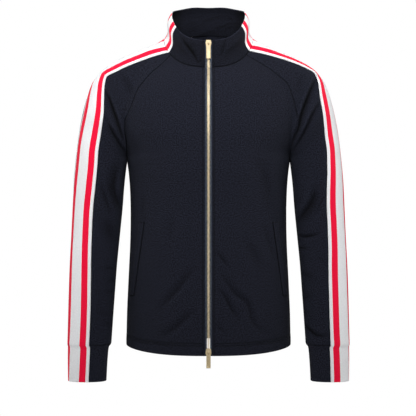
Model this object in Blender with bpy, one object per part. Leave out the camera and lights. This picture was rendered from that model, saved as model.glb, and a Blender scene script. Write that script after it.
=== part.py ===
"""A zip-front track jacket with a stand collar and raglan sleeves, filled out as it is worn.

Metres, +Z up. The front faces -Y and the wearer's left is +X. The origin is the middle of the
neck, level with the points where the shoulders meet the collar, which is where a wearer holds
the jacket up.

The outer face of the cloth is one surface, worked out as rows of points that run round the
jacket from the zip to the middle of the back. Each cut piece takes its own part of that
surface and gets its own wall on the inside, with a narrow gap to its neighbour at each seam.
"""

import math

import bpy
import numpy as np

# ---------------------------------------------------------------- driving sizes
SEAM_GAP = 0.0003
BEHIND_GAP = 0.0005  # between a front edge and the zip tape behind it
CLOTH = 0.0016  # loop-back sweatshirt knit, one layer
DOUBLE_CLOTH = 0.0028  # collar, cuffs and the turned hem: two layers
STRIPE_CLOTH = 0.0018

HEM_Z = -0.667
HEM_TURN = 0.026  # height of the turned hem
UNDERARM_Z = -0.262
CUFF_TOP_Z = -0.662
CUFF_END_Z = -0.740

ZIP_SLIT = 0.0156  # width left open between the two front edges
CHAIN_WIDTH = 0.0062
CHAIN_THICKNESS = 0.0026
ZIP_TAPE = 0.0010
ZIP_TAPE_UNDER = 0.005  # how far a zip tape runs in under the front edge

# The bands of the striped tape: white, red, the two halves of the wide white one, red, white.
STRIPE_BANDS = (0.007, 0.014, 0.013, 0.013, 0.014, 0.007)
STRIPE_TURN = 0.006  # the tape lies this much further forward on the right, and back on the left

# ---------------------------------------------------------------- steps along and round the jacket
FRONT_STEPS = 12
WELT_COLUMNS = (8, 10)  # steps of the front that the pocket welt lies on
BACK_STEPS = 11
SLEEVE_FRONT_STEPS = 8
SLEEVE_BACK_STEPS = 7
SLEEVE_ROWS = 20  # underarm to cuff
CUFF_ROWS = 3
YOKE_ROWS = 13  # underarm to neck
COLLAR_ROWS = 5
DENSE = 48  # points on a row before it is shared out into steps
YOKE_CROWDING = 1.12  # above 1, the yoke's rows are closer together near the underarm
HEM_SEAM_STEP = 0.003  # height of the row just above the turned hem
CUFF_SEAM_STEP = 0.005  # and of the one at the cuff's seam

# ---------------------------------------------------------------- how the rows curve
ACROSS = np.array([1.0, 0.0, 0.0])
BACKWARD = np.array([0.0, 1.0, 0.0])
ROUND = 4 / 3  # handle of a half-round curve, as a share of its depth
# Handles of the body's rows, as shares of the section's half width and depth.
BODY_HANDLES = {"front_middle": 0.62, "front_side": 0.60, "back_middle": 0.65, "back_side": 0.64}
# And of the yoke's, as shares of the way across: at the underarm, and how much less at the neck.
YOKE_HANDLES = {
    "front_middle": (0.51, 0.16),
    "front_seam": (0.34, 0.0),
    "back_middle": (0.50, 0.14),
    "back_seam": (0.33, 0.0),
}
UNDERARM_BLEND = 0.42  # share of the yoke over which the rows leave the sections below it
UNDERARM_REACH = 0.044  # deepest place where a raglan seam meets the sleeve's own section
SLEEVE_TOP_Z = -0.251
SLEEVE_TOP_SLOPE = 0.011  # how far the top of the sleeve's first ring rises and its inside falls
SLEEVE_SLOPE_HEIGHT = 0.16
HEM_DIP = 0.011  # how much lower the hem hangs at the zip than at the sides
HEM_DIP_HEIGHT = 0.12
COLLAR_FLARE = 0.0036  # how far the collar draws in above its seam and swells below its top
COLLAR_FLARE_FADE = 0.05  # how far from the zip it does so in full
FOLD_FADE = 0.03  # and the folds
FOLD_END = 0.12  # a fold's depth at its ends is that of this share of a half wave
FOLD_FACING = 1.6  # how soon a fold reaches its full depth as the cloth turns to the front
SAME_WAY = (0.3, 0.8)  # cosines between which two pieces go from a fold to running on smoothly
CORNER_STRETCH = 1.4  # wider setting back where three or more pieces meet

# ---------------------------------------------------------------- section tables
# Sections of the body below the underarm.
BODY = {
    "z": (-0.676, -0.600, -0.520, -0.430, -0.360, -0.319, -0.290, -0.262),
    "half_width": (0.1805, 0.1790, 0.1755, 0.1715, 0.1712, 0.1728, 0.1753, 0.1785),
    "front": (0.1180, 0.1130, 0.1070, 0.1030, 0.1045, 0.1090, 0.1132, 0.1160),
    "back": (0.1080, 0.1040, 0.0980, 0.0920, 0.0940, 0.0995, 0.1043, 0.1080),
}

# Sections of a sleeve below the underarm: its middle, half width and half depth.
SLEEVE = {
    "z": (-0.250, -0.310, -0.370, -0.430, -0.490, -0.550, -0.610, -0.662),
    "middle_x": (0.2338, 0.2400, 0.2436, 0.2474, 0.2513, 0.2538, 0.2558, 0.2574),
    "half_width": (0.0553, 0.0554, 0.0547, 0.0530, 0.0515, 0.0502, 0.0486, 0.0473),
    "middle_y": (0.0000, -0.0010, -0.0030, -0.0080, -0.0150, -0.0230, -0.0320, -0.0400),
    "half_depth": (0.0510, 0.0480, 0.0435, 0.0395, 0.0365, 0.0345, 0.0325, 0.0305),
}
CUFF = {
    "z": (-0.662, -0.690, -0.740),
    "middle_x": (0.2590, 0.2605, 0.2612),
    "half_width": (0.0446, 0.0430, 0.0412),
    "middle_y": (-0.0400, -0.0430, -0.0470),
    "half_depth": (0.0285, 0.0270, 0.0258),
}

# How far forward of the sleeve's outer ridge the stripe's front edge runs: down the sleeve by
# height, and over the shoulder by the share of the way from the underarm to the neck.
STRIPE_DOWN = {
    "z": (-0.250, -0.370, -0.490, -0.610, -0.662, -0.700, -0.740),
    "front": (0.0640, 0.0620, 0.0590, 0.0560, 0.0545, 0.0510, 0.0490),
}
STRIPE_OVER = {
    "at": (0.00, 0.12, 0.25, 0.37, 0.48, 0.58, 0.68, 0.78, 0.88, 1.00),
    "front": (0.0640, 0.0640, 0.0610, 0.0565, 0.0490, 0.0420, 0.0375, 0.0350, 0.0340, 0.0335),
}
STRIPE_AT_COLLAR_TOP = 0.0370

# From the underarm (0) to the neck (1): the front raglan seam, the ridge of the sleeve and the
# back raglan seam.
RAGLAN = {
    "at": (0.00, 0.12, 0.25, 0.37, 0.48, 0.58, 0.68, 0.78, 0.88, 1.00),
    "front_x": (0.1785, 0.1772, 0.1785, 0.1790, 0.1760, 0.1690, 0.1570, 0.1385, 0.1135, 0.0810),
    "front_y": (0.0000, -0.0340, -0.0550, -0.0630, -0.0670, -0.0690, -0.0690, -0.0665, -0.0600, -0.0503),
    "front_z": (-0.2620, -0.2380, -0.2050, -0.1760, -0.1500, -0.1270, -0.1060, -0.0850, -0.0650, -0.0382),
    "ridge_x": (0.2890, 0.2838, 0.2760, 0.2665, 0.2545, 0.2375, 0.2130, 0.1780, 0.1410, 0.0980),
    "ridge_z": (-0.2400, -0.2020, -0.1610, -0.1260, -0.0940, -0.0710, -0.0525, -0.0350, -0.0200, 0.0000),
    "back_x": (0.1785, 0.1775, 0.1745, 0.1690, 0.1610, 0.1510, 0.1380, 0.1220, 0.1030, 0.0803),
    "back_y": (0.0000, 0.0350, 0.0590, 0.0720, 0.0800, 0.0840, 0.0850, 0.0800, 0.0665, 0.0400),
    "back_z": (-0.2620, -0.2370, -0.2020, -0.1720, -0.1440, -0.1180, -0.0910, -0.0630, -0.0310, 0.0132),
}
# Which way the rows run as they meet the raglan seam, in degrees: turned from +X towards the
# back, and raised. Where the sleeve's turn is less than the body's, the seam lies in a valley.
SEAM_TURN = {
    "at": (0.00, 0.12, 0.25, 0.37, 0.48, 0.58, 0.68, 0.78, 0.88, 1.00),
    "body": (90.0, 72.0, 55.0, 44.0, 38.0, 35.0, 35.0, 38.0, 43.0, 50.0),
    "sleeve": (-90.0, -60.0, -28.0, -4.0, 12.0, 21.0, 28.0, 35.0, 42.0, 50.0),
    "body_rise": (0.0, 2.0, 5.0, 9.0, 14.0, 20.0, 26.0, 31.0, 35.0, 38.0),
    "sleeve_rise": (0.0, 5.0, 11.0, 19.0, 26.0, 31.0, 35.0, 38.0, 39.0, 38.0),
    "back_body_fall": (0.0, 0.0, 0.0, -2.0, -4.0, -6.0, -7.0, -7.0, -6.0, -5.0),
    "back_sleeve_fall": (0.0, 5.0, 11.0, 19.0, 25.0, 28.0, 28.0, 23.0, 12.0, -5.0),
    "seam_reach": (0.0667, 0.0500, 0.0385, 0.0315, 0.0270, 0.0245, 0.0235, 0.0225, 0.0215, 0.0210),
    "ridge_reach": (0.0667, 0.0600, 0.0550, 0.0520, 0.0500, 0.0480, 0.0440, 0.0370, 0.0290, 0.0220),
}

# The middle line of the front and of the back, above the underarm.
FRONT_LINE = {
    "z": (-0.262, -0.210, -0.150, -0.110, -0.069),
    "y": (-0.1160, -0.1180, -0.1110, -0.1010, -0.0850),
}
BACK_LINE = {
    "z": (-0.262, -0.200, -0.140, -0.080, -0.030, 0.022),
    "y": (0.1080, 0.1140, 0.1160, 0.1090, 0.0950, 0.0740),
}

# The neck seam and the collar's top edge, as rings about the neck: half width, front and back
# reach, and the height at the front, side and back.
NECK_SEAM = {
    "half_width": 0.0980,
    "front": -0.0850,
    "back": 0.0740,
    "front_z": -0.0690,
    "side_z": 0.0,
    "back_z": 0.0220,
}
COLLAR_TOP = {
    "half_width": 0.0815,
    "front": -0.0800,
    "back": 0.0720,
    "front_z": -0.0110,
    "side_z": 0.0575,
    "back_z": 0.0855,
}
RAGLAN_AT_NECK = 55.7  # degrees round the neck from the front, where the front raglan seam ends
BACK_RAGLAN_AT_NECK = 125.0

# The largest folds: each runs in a straight line between two points of the front view, x and z,
# with a depth and a width. They are pressed into the cloth that faces forward.
FOLDS = (
    ((-0.232, -0.112), (-0.178, -0.242), 0.0068, 0.013),  # right sleeve
    ((-0.226, -0.170), (-0.182, -0.258), 0.0040, 0.012),
    ((-0.236, -0.300), (-0.204, -0.410), 0.0035, 0.018),
    ((-0.200, -0.400), (-0.262, -0.436), 0.0030, 0.014),
    ((0.238, -0.118), (0.178, -0.250), 0.0085, 0.012),  # left sleeve
    ((0.236, -0.186), (0.184, -0.262), 0.0050, 0.011),
    ((0.214, -0.322), (0.196, -0.412), 0.0045, 0.015),
    ((0.196, -0.430), (0.256, -0.418), 0.0040, 0.013),
    ((0.200, -0.634), (0.268, -0.656), 0.0030, 0.012),
    ((0.014, -0.461), (0.062, -0.545), 0.0030, 0.016),  # left front
    ((0.069, -0.516), (0.128, -0.600), 0.0030, 0.016),
    ((-0.074, -0.538), (-0.134, -0.620), 0.0022, 0.018),  # right front
    ((-0.056, -0.008), (-0.020, -0.052), 0.0016, 0.010),  # collar
)

# Welt pockets: the front edge of the welt, from top to bottom, as heights and half widths.
POCKET = {"z": (-0.557, -0.398), "x": (0.1590, 0.1360)}
WELT_WIDTH = 0.019
WELT_CLOTH = 0.0014
WELT_REACH = 0.002  # how far past its stated ends a row may lie and still belong to the welt

# Zip slider and pull. The pull turns about a bar at the slider's middle, under a bail.
SLIDER_LENGTH = 0.0150
SLIDER_WIDTH = 0.0125
SLIDER_NOSE_WIDTH = 0.0086
SLIDER_WIDEST = 0.25  # share of the half length above the middle where the slider is widest
SLIDER_TOP_WIDTH = 0.72  # width of its top end, as a share of the widest
SLIDER_PLATE = 0.0014
POST_WIDTH = 0.0032
POST_SPAN = (0.52, 0.98)  # bottom and top of the post between the plates, in half lengths
BITE = 0.0004  # how far one metal piece runs into the next where they are one casting
BAIL_WIDTH = 0.0026
BAIL_LENGTH = 0.0076
BAIL_HEIGHT = 0.0046
BAIL_WALL = 0.0012
PULL_BAR_RADIUS = 0.0007
PULL_BAR_STANDS = 0.0021  # from the slider's face to the middle of the bar
CHAIN_IN_SLIDER = 0.001  # how far past a slider's middle the chain runs
PULL_THICKNESS = 0.0014
PULL_WIDTH = 0.0090
PULL_LENGTH = 0.0335
PULL_HOLE_LENGTH = 0.0075
PULL_HOLE_WIDTH = 0.0040
TOP_SLIDER_Z = -0.0180  # middle of the upper slider
BOTTOM_SLIDER_Z = -0.6700


# ---------------------------------------------------------------- curves
def smooth_value(table, key, column, at):
    """A table's column read at a place between its rows, on a smooth curve through them."""
    places = np.asarray(table[key], float)
    values = np.asarray(table[column], float)
    if places[0] > places[-1]:
        places, values = places[::-1], values[::-1]
    slopes = np.gradient(values, places)
    at = np.clip(at, places[0], places[-1])
    i = np.clip(np.searchsorted(places, at) - 1, 0, len(places) - 2)
    step = places[i + 1] - places[i]
    t = (at - places[i]) / step
    return (
        (2 * t**3 - 3 * t**2 + 1) * values[i]
        + (t**3 - 2 * t**2 + t) * step * slopes[i]
        + (3 * t**2 - 2 * t**3) * values[i + 1]
        + (t**3 - t**2) * step * slopes[i + 1]
    )


def bezier(controls, at=np.linspace(0.0, 1.0, DENSE)):
    """Points along a cubic curve given by its start, two handles and end."""
    start, start_handle, end_handle, end = controls
    t = at[:, None]
    return (
        (1 - t) ** 3 * start
        + 3 * (1 - t) ** 2 * t * start_handle
        + 3 * (1 - t) * t**2 * end_handle
        + t**3 * end
    )


def cut_curve(controls, y, keep_start):
    """The controls of the part of a cubic curve before, or after, the place where it reaches y."""
    places = np.linspace(0.5, 1.0, 300) if keep_start else np.linspace(0.0, 0.5, 300)
    line = bezier(controls, at=places)
    t = places[np.argmin(np.abs(line[:, 1] - y))]
    a, b, c, d = controls
    ab, bc, cd = a + t * (b - a), b + t * (c - b), c + t * (d - c)
    abc, bcd = ab + t * (bc - ab), bc + t * (cd - bc)
    middle = abc + t * (bcd - abc)
    return np.array([a, ab, abc, middle] if keep_start else [middle, bcd, cd, d])


def between_ends(controls, start, end):
    """A cubic curve moved to new ends, each handle going with its own end."""
    a, b, c, d = controls
    return np.array([start, b + start - a, c + end - d, end])


def lengths_along(line):
    """Distance from the line's start to each of its points."""
    steps = np.linalg.norm(np.diff(line, axis=0), axis=1)
    return np.concatenate([[0.0], np.cumsum(steps)])


def points_at(line, distances):
    """Points of a line at given distances from its start."""
    along = lengths_along(line)
    return np.stack([np.interp(distances, along, line[:, i]) for i in range(3)], axis=1)


def even_points(line, steps):
    return points_at(line, np.linspace(0.0, lengths_along(line)[-1], steps + 1))


def heading(turn, rise):
    """Unit vector turned from +X towards +Y, and raised, both in degrees."""
    turn, rise = math.radians(turn), math.radians(rise)
    return np.array(
        [math.cos(turn) * math.cos(rise), math.sin(turn) * math.cos(rise), math.sin(rise)]
    )


# ---------------------------------------------------------------- rows of the body and the sleeve
def ring_point(ring, degrees):
    """A point of the neck seam or of the collar's top edge, measured round from the front."""
    angle = math.radians(degrees)
    middle_y = (ring["front"] + ring["back"]) / 2
    reach = (ring["back"] - ring["front"]) / 2
    level = (ring["front_z"] + ring["back_z"]) / 2
    tilt = (ring["back_z"] - ring["front_z"]) / 2
    lift = (ring["side_z"] - level) * math.sin(angle) ** 4
    return np.array(
        [
            ring["half_width"] * math.sin(angle),
            middle_y - reach * math.cos(angle),
            level - tilt * math.cos(angle) + lift,
        ]
    )


def ring_line(ring, start, end):
    """Part of such a ring between two angles."""
    return np.array([ring_point(ring, a) for a in np.linspace(start, end, 2 * DENSE)])


def zip_angle(ring):
    """Where the front edge beside the zip meets a ring."""
    return math.degrees(math.asin(ZIP_SLIT / 2 / ring["half_width"]))


def body_controls(z):
    """The curves of the front and back halves of one level row of the body."""
    half_width, front, back = (
        smooth_value(BODY, "z", column, z) for column in ("half_width", "front", "back")
    )
    side = np.array([half_width, 0.0, z])
    front_edge = np.array([ZIP_SLIT / 2, -front, z])
    back_middle = np.array([0.0, back, z])
    handles = {
        "front_middle": front_edge + BODY_HANDLES["front_middle"] * half_width * ACROSS,
        "front_side": side - BODY_HANDLES["front_side"] * front * BACKWARD,
        "back_side": side + BODY_HANDLES["back_side"] * back * BACKWARD,
        "back_middle": back_middle + BODY_HANDLES["back_middle"] * half_width * ACROSS,
    }
    return (
        np.array([front_edge, handles["front_middle"], handles["front_side"], side]),
        np.array([side, handles["back_side"], handles["back_middle"], back_middle]),
    )


def body_row(z):
    """Front and back halves of one row of the body below the underarm."""
    front_line, back_line = (bezier(controls) for controls in body_controls(z))
    low = max(0.0, 1 - (z - HEM_Z) / HEM_DIP_HEIGHT)
    side_x = front_line[-1, 0]
    front_line[:, 2] -= HEM_DIP * low**2 * (1 - (front_line[:, 0] / side_x) ** 3)
    return front_line, back_line


def sleeve_top_controls():
    """The curves of the sleeve's front and back halves at the underarm."""
    under = np.array([RAGLAN["front_x"][0], 0.0, UNDERARM_Z])
    outer = np.array([RAGLAN["ridge_x"][0], 0.0, RAGLAN["ridge_z"][0]])
    reach = ROUND * SLEEVE["half_depth"][0] * BACKWARD
    return (
        np.array([under, under - reach, outer - reach, outer]),
        np.array([outer, outer + reach, under + reach, under]),
    )


def yoke_row(at):
    """Body front, sleeve front, sleeve back and body back on one row above the underarm."""
    front, back = (
        np.array([smooth_value(RAGLAN, "at", f"{name}_{axis}", at) for axis in "xyz"])
        for name in ("front", "back")
    )
    ridge_x, ridge_z = (smooth_value(RAGLAN, "at", f"ridge_{axis}", at) for axis in "xz")
    ridge = np.array([ridge_x, at * ring_point(NECK_SEAM, 90.0)[1], ridge_z])
    turn = {name: smooth_value(SEAM_TURN, "at", name, at) for name in SEAM_TURN if name != "at"}
    front_z = UNDERARM_Z + at * (NECK_SEAM["front_z"] - UNDERARM_Z)
    back_z = UNDERARM_Z + at * (NECK_SEAM["back_z"] - UNDERARM_Z)
    front_edge = np.array([ZIP_SLIT / 2, smooth_value(FRONT_LINE, "z", "y", front_z), front_z])
    back_middle = np.array([0.0, smooth_value(BACK_LINE, "z", "y", back_z), back_z])

    across_front = np.linalg.norm(front - front_edge)
    across_back = np.linalg.norm(back - back_middle)
    handle = {name: start - at * less for name, (start, less) in YOKE_HANDLES.items()}
    body_in = heading(turn["body"], turn["body_rise"])
    sleeve_out = heading(turn["sleeve"], turn["sleeve_rise"])
    sleeve_back_in = heading(180 - turn["sleeve"], -turn["back_sleeve_fall"])
    body_back_out = heading(180 - turn["body"], turn["back_body_fall"])
    over_ridge = turn["ridge_reach"] * BACKWARD
    upper = [
        np.array(
            [
                front_edge,
                front_edge + handle["front_middle"] * across_front * ACROSS,
                front - handle["front_seam"] * across_front * body_in,
                front,
            ]
        ),
        np.array([front, front + turn["seam_reach"] * sleeve_out, ridge - over_ridge, ridge]),
        np.array([ridge, ridge + over_ridge, back - turn["seam_reach"] * sleeve_back_in, back]),
        np.array(
            [
                back,
                back + handle["back_seam"] * across_back * body_back_out,
                back_middle + handle["back_middle"] * across_back * ACROSS,
                back_middle,
            ]
        ),
    ]
    # Near the underarm the rows still follow the body's and the sleeve's own sections.
    body_front, body_back = body_controls(UNDERARM_Z)
    sleeve_front, sleeve_back = sleeve_top_controls()
    lower = [
        between_ends(cut_curve(body_front, front[1], True), front_edge, front),
        between_ends(cut_curve(sleeve_front, max(front[1], -UNDERARM_REACH), False), front, ridge),
        between_ends(cut_curve(sleeve_back, min(back[1], UNDERARM_REACH), True), ridge, back),
        between_ends(cut_curve(body_back, back[1], False), back, back_middle),
    ]
    share = float(np.clip(at / UNDERARM_BLEND, 0.0, 1.0))
    share = share * share * (3 - 2 * share)
    return [bezier((1 - share) * near + share * far) for near, far in zip(lower, upper)]


def neck_row(ring):
    """The same four stretches on the neck seam or the collar's top edge."""
    stops = (zip_angle(ring), RAGLAN_AT_NECK, 90.0, BACK_RAGLAN_AT_NECK, 180.0)
    return tuple(ring_line(ring, start, end) for start, end in zip(stops, stops[1:]))


def sleeve_ring(table, z):
    """Front and back halves of one ring of the sleeve or cuff, from its inner side round."""
    middle_x, half_width, middle_y, half_depth = (
        smooth_value(table, "z", column, z)
        for column in ("middle_x", "half_width", "middle_y", "half_depth")
    )
    # The uppermost rings slope up towards the shoulder.
    near_top = max(0.0, 1 - (SLEEVE_TOP_Z - z) / SLEEVE_SLOPE_HEIGHT)
    slope = SLEEVE_TOP_SLOPE * near_top**2 if table is SLEEVE else 0.0
    inner = np.array([middle_x - half_width, middle_y, z - slope])
    outer = np.array([middle_x + half_width, middle_y, z + slope])
    reach = ROUND * half_depth * BACKWARD
    front = bezier([inner, inner - reach, outer - reach, outer])
    back = bezier([outer, outer + reach, inner + reach, inner])
    return front, back


def share_out_front(line):
    """Steps along a front row, with the steps of the pocket welt where the welt lies."""
    along = lengths_along(line)
    z = np.clip(line[0, 2], POCKET["z"][0], POCKET["z"][1])
    start = np.interp(np.interp(z, POCKET["z"], POCKET["x"]), line[:, 0], along) / along[-1]
    width = WELT_WIDTH / along[-1]
    first, last = WELT_COLUMNS
    welted = np.interp(
        np.arange(FRONT_STEPS + 1), (0, first, last, FRONT_STEPS), (0.0, start, start + width, 1.0)
    )
    blend = np.clip((line[0, 2] - POCKET["z"][1]) / (UNDERARM_Z - POCKET["z"][1]), 0.0, 1.0)
    even = np.linspace(0.0, 1.0, FRONT_STEPS + 1)
    return points_at(line, ((1 - blend) * welted + blend * even) * along[-1])


def share_out_sleeve(front, back, stripe_front):
    """Steps round a sleeve row: up to the stripe, its bands, and on to the end of the row."""
    line = np.concatenate([front, back[1:]])
    ridge = lengths_along(front)[-1]
    total = lengths_along(line)[-1]
    bands = ridge - stripe_front + np.concatenate([[0.0], np.cumsum(STRIPE_BANDS)])
    before = np.linspace(0.0, bands[0], SLEEVE_FRONT_STEPS + 1)[:-1]
    after = np.linspace(bands[-1], total, SLEEVE_BACK_STEPS + 1)[1:]
    return points_at(line, np.concatenate([before, bands, after]))


# ---------------------------------------------------------------- the whole outer surface
def body_heights():
    hem_top = HEM_Z + HEM_TURN
    turned = [HEM_Z, HEM_Z + HEM_TURN / 2, hem_top, hem_top + HEM_SEAM_STEP]
    low = np.linspace(turned[-1], POCKET["z"][0], 3)[1:]
    middle = np.linspace(POCKET["z"][0], POCKET["z"][1], 6)[1:]
    high = np.linspace(POCKET["z"][1], UNDERARM_Z, 6)[1:]
    return np.concatenate([turned, low, middle, high])


def yoke_places():
    """Places of the rows from the underarm to the neck."""
    return np.linspace(0.0, 1.0, YOKE_ROWS + 1)[1:] ** YOKE_CROWDING


def body_patches():
    """Rows of the front and back from the hem to the neck seam."""
    front_rows, back_rows = [], []
    for z in body_heights():
        front, back = body_row(z)
        front_rows.append(share_out_front(front))
        back_rows.append(even_points(back, BACK_STEPS))
    for at in yoke_places():
        front, _, _, back = yoke_row(at) if at < 1 else neck_row(NECK_SEAM)
        front_rows.append(even_points(front, FRONT_STEPS))
        back_rows.append(even_points(back, BACK_STEPS))
    return np.array(front_rows), np.array(back_rows)


def sleeve_patch(turn):
    """Rows of the sleeve and its cuff, from the cuff's end to the neck seam."""
    rows = []
    for z in np.linspace(CUFF_END_Z, CUFF_TOP_Z - CUFF_SEAM_STEP, CUFF_ROWS + 1):
        edge = smooth_value(STRIPE_DOWN, "z", "front", z) + turn
        rows.append(share_out_sleeve(*sleeve_ring(CUFF, z), edge))
    for z in np.linspace(CUFF_TOP_Z, SLEEVE_TOP_Z, SLEEVE_ROWS + 1)[:-1]:
        edge = smooth_value(STRIPE_DOWN, "z", "front", z) + turn
        rows.append(share_out_sleeve(*sleeve_ring(SLEEVE, z), edge))
    for at in (0.0, *yoke_places()):
        edge = smooth_value(STRIPE_OVER, "at", "front", at) + turn
        _, front, back, _ = yoke_row(at) if at < 1 else neck_row(NECK_SEAM)
        rows.append(share_out_sleeve(front, back, edge))
    return np.array(rows)


def collar_patch(turn):
    """Rows of the collar from the neck seam to its top edge."""
    edges = []
    stripe_fronts = (STRIPE_OVER["front"][-1], STRIPE_AT_COLLAR_TOP)
    for ring, stripe_front in zip((NECK_SEAM, COLLAR_TOP), stripe_fronts):
        front, sleeve_front, sleeve_back, back = neck_row(ring)
        middle = share_out_sleeve(sleeve_front, sleeve_back, stripe_front + turn)
        front, back = even_points(front, FRONT_STEPS), even_points(back, BACK_STEPS)
        edges.append(np.concatenate([front[:-1], middle, back[1:]]))
    seam, top = edges
    middle = np.array([0.0, (NECK_SEAM["front"] + NECK_SEAM["back"]) / 2, 0.0])
    outward = (seam - middle) * np.array([1.0, 1.0, 0.0])
    outward /= np.linalg.norm(outward, axis=1)[:, None]
    beside_zip = np.clip((seam[:, [0]] - ZIP_SLIT / 2) / COLLAR_FLARE_FADE, 0.0, 1.0)
    outward *= np.where(seam[:, [1]] < 0, beside_zip, 1.0)
    rows = []
    for up in np.linspace(0.0, 1.0, COLLAR_ROWS + 1):
        swell = -COLLAR_FLARE * math.sin(2 * math.pi * up)
        rows.append((1 - up) * seam + up * top + swell * outward)
    return np.array(rows)


# ---------------------------------------------------------------- cutting the surface into pieces
SAME_LENGTH = 1e-6
SAME_POINT = 1e-6


class Surface:
    """The outer faces of the cloth. Points are shared, and each face belongs to one piece."""

    def __init__(self):
        self.points = []
        self.index = {}
        self.quads = {}
        self.faces = {}
        self.levels = {}

    def corner(self, point):
        key = tuple(np.round(point / SAME_POINT).astype(int))
        if key not in self.index:
            self.index[key] = len(self.points)
            self.levels[len(self.points)] = point[2]
            self.points.append(np.array(point))
        return self.index[key]

    def add(self, piece, grid, side):
        """Adds a grid of rows, low to high, whose columns run from the front round to the back."""
        grid = grid * np.array([side, 1.0, 1.0])
        corners = [[self.corner(p) for p in row] for row in grid]
        for low, high in zip(corners, corners[1:]):
            for j in range(len(low) - 1):
                quad = (low[j], low[j + 1], high[j + 1], high[j])
                self.quads.setdefault(piece, []).append((quad, side))
        return corners

    def split(self):
        """Cuts each four-cornered face across its shorter way."""
        for piece, quads in self.quads.items():
            found = []
            for (a, b, c, d), side in quads:
                rising = np.linalg.norm(self.points[a] - self.points[c])
                falling = np.linalg.norm(self.points[b] - self.points[d])
                if rising < falling + SAME_LENGTH:
                    halves = [(a, b, c), (a, c, d)]
                else:
                    halves = [(a, b, d), (b, c, d)]
                found += [h if side > 0 else h[::-1] for h in halves if len(set(h)) == 3]
            self.faces[piece] = found

    def normals(self, *pieces):
        """Normal at each corner of these pieces, from their faces by size."""
        found = {}
        for piece in pieces:
            for face in self.faces[piece]:
                a, b, c = (self.points[i] for i in face)
                for i in face:
                    found[i] = found.get(i, 0.0) + np.cross(b - a, c - a)
        return {i: n / np.linalg.norm(n) for i, n in found.items()}

    def into(self, piece):
        """At each corner of a piece, the way from that corner to the faces round it."""
        found = {}
        for face in self.faces[piece]:
            middle = sum(self.points[i] for i in face) / len(face)
            for i in face:
                way = middle - self.points[i]
                found[i] = found.get(i, 0.0) + way / np.linalg.norm(way)
        return found

    def press_folds(self):
        """Moves the points that face forward in where a fold passes."""
        normals = self.normals(*self.faces)
        for i, normal in normals.items():
            self.points[i] = self.points[i] - fold_depth(self.points[i], normal) * normal


def fold_depth(point, normal):
    """How far the folds press the cloth in at a point."""
    depth_here = 0.0
    for start, end, depth, width in FOLDS:
        run = np.subtract(end, start)
        offset = point[[0, 2]] - start
        along = np.clip(offset @ run / (run @ run), 0.0, 1.0)
        away = np.linalg.norm(offset - along * run)
        taper = math.sin(math.pi * (FOLD_END + (1 - 2 * FOLD_END) * along))
        depth_here += depth * math.exp(-((away / width) ** 2)) * taper
    beside_zip = np.clip((abs(point[0]) - ZIP_SLIT / 2) / FOLD_FADE, 0.0, 1.0)
    return depth_here * beside_zip * float(np.clip(-normal[1] * FOLD_FACING, 0.0, 1.0))


def open_edges(faces):
    """Edges of one face only, each in that face's direction."""
    edges = [(f[i], f[(i + 1) % len(f)]) for f in faces for i in range(len(f))]
    known = set(edges)
    return [(a, b) for a, b in edges if (b, a) not in known]


def unit(vector):
    return vector / max(np.linalg.norm(vector), 1e-12)


def family(piece):
    """Pieces of one family run on smoothly into each other."""
    if "collar" in piece:
        return "collar"
    return "sleeve" if "sleeve" in piece or "cuff" in piece else "body"


def wall_normals(surface):
    """The way out of the cloth at each corner, for each family of pieces.

    Where two families meet almost flat they share it, and where they meet in a fold they don't.
    """
    families = {}
    for piece in surface.faces:
        families.setdefault(family(piece), []).append(piece)
    own = {name: surface.normals(*pieces) for name, pieces in families.items()}
    shared = {}
    for name, normals in own.items():
        shared[name] = {}
        for i, normal in normals.items():
            total = normal
            for other in own:
                if other != name and i in own[other]:
                    share = np.interp(normal @ own[other][i], SAME_WAY, (0.0, 1.0))
                    total = total + share * own[other][i]
            shared[name][i] = unit(total)
    return shared


def piece_walls(surface):
    """For each piece, its outer and inner points by corner, and its ways out."""
    normals = wall_normals(surface)
    into = {piece: surface.into(piece) for piece in surface.faces}
    owners = {}
    for piece, found in into.items():
        for i in found:
            owners.setdefault(i, []).append(piece)
    walls = {}
    for piece, faces in surface.faces.items():
        beside = {}
        for a, b in open_edges(faces):
            beside.setdefault(a, []).append(b)
            beside.setdefault(b, []).append(a)
        outer, inner = {}, {}
        for i in sorted(into[piece]):
            point, normal = surface.points[i], normals[family(piece)][i]
            others = [p for p in owners[i] if p != piece]
            if others:
                away = unit(into[piece][i]) - unit(sum(unit(into[p][i]) for p in others))
                ends = beside[i]
                if len(ends) == 2 and len(others) == 1:
                    along = unit(surface.points[ends[0]] - surface.points[ends[1]])
                    away = away - (away @ along) * along
                stretch = 1.0 if len(others) == 1 else CORNER_STRETCH
                point = point + unit(away) * SEAM_GAP / 2 * stretch
            outer[i] = point
            inner[i] = point - thickness_of(piece, point) * normal
        walls[piece] = (outer, inner, normals[family(piece)])
    return walls


def closed_wall(faces, outer, inner):
    """Points and faces of the closed solid between the outer and inner faces of a piece."""
    order = {i: n for n, i in enumerate(outer)}
    count = len(order)
    solid = [[order[i] for i in f] for f in faces]
    solid += [[order[i] + count for i in reversed(f)] for f in faces]
    for a, b in open_edges(faces):
        quad = [order[b], order[a], order[a] + count, order[b] + count]
        # The two pieces at a seam cut their facing sides across the same way.
        first = 1 if a < b else 0
        quad = quad[first:] + quad[:first]
        solid += [quad[:3], [quad[0], quad[2], quad[3]]]
    return [*outer.values(), *inner.values()], solid


def thickness_of(piece, point):
    """Wall thickness of a piece at a point."""
    if piece.startswith(("collar", "cuff", "stripe_collar")):
        return DOUBLE_CLOTH
    if piece.startswith("stripe"):
        return STRIPE_CLOTH
    if piece in ("back", "front_left", "front_right") and point[2] < HEM_Z + HEM_TURN + 0.001:
        return DOUBLE_CLOTH
    return CLOTH


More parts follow.
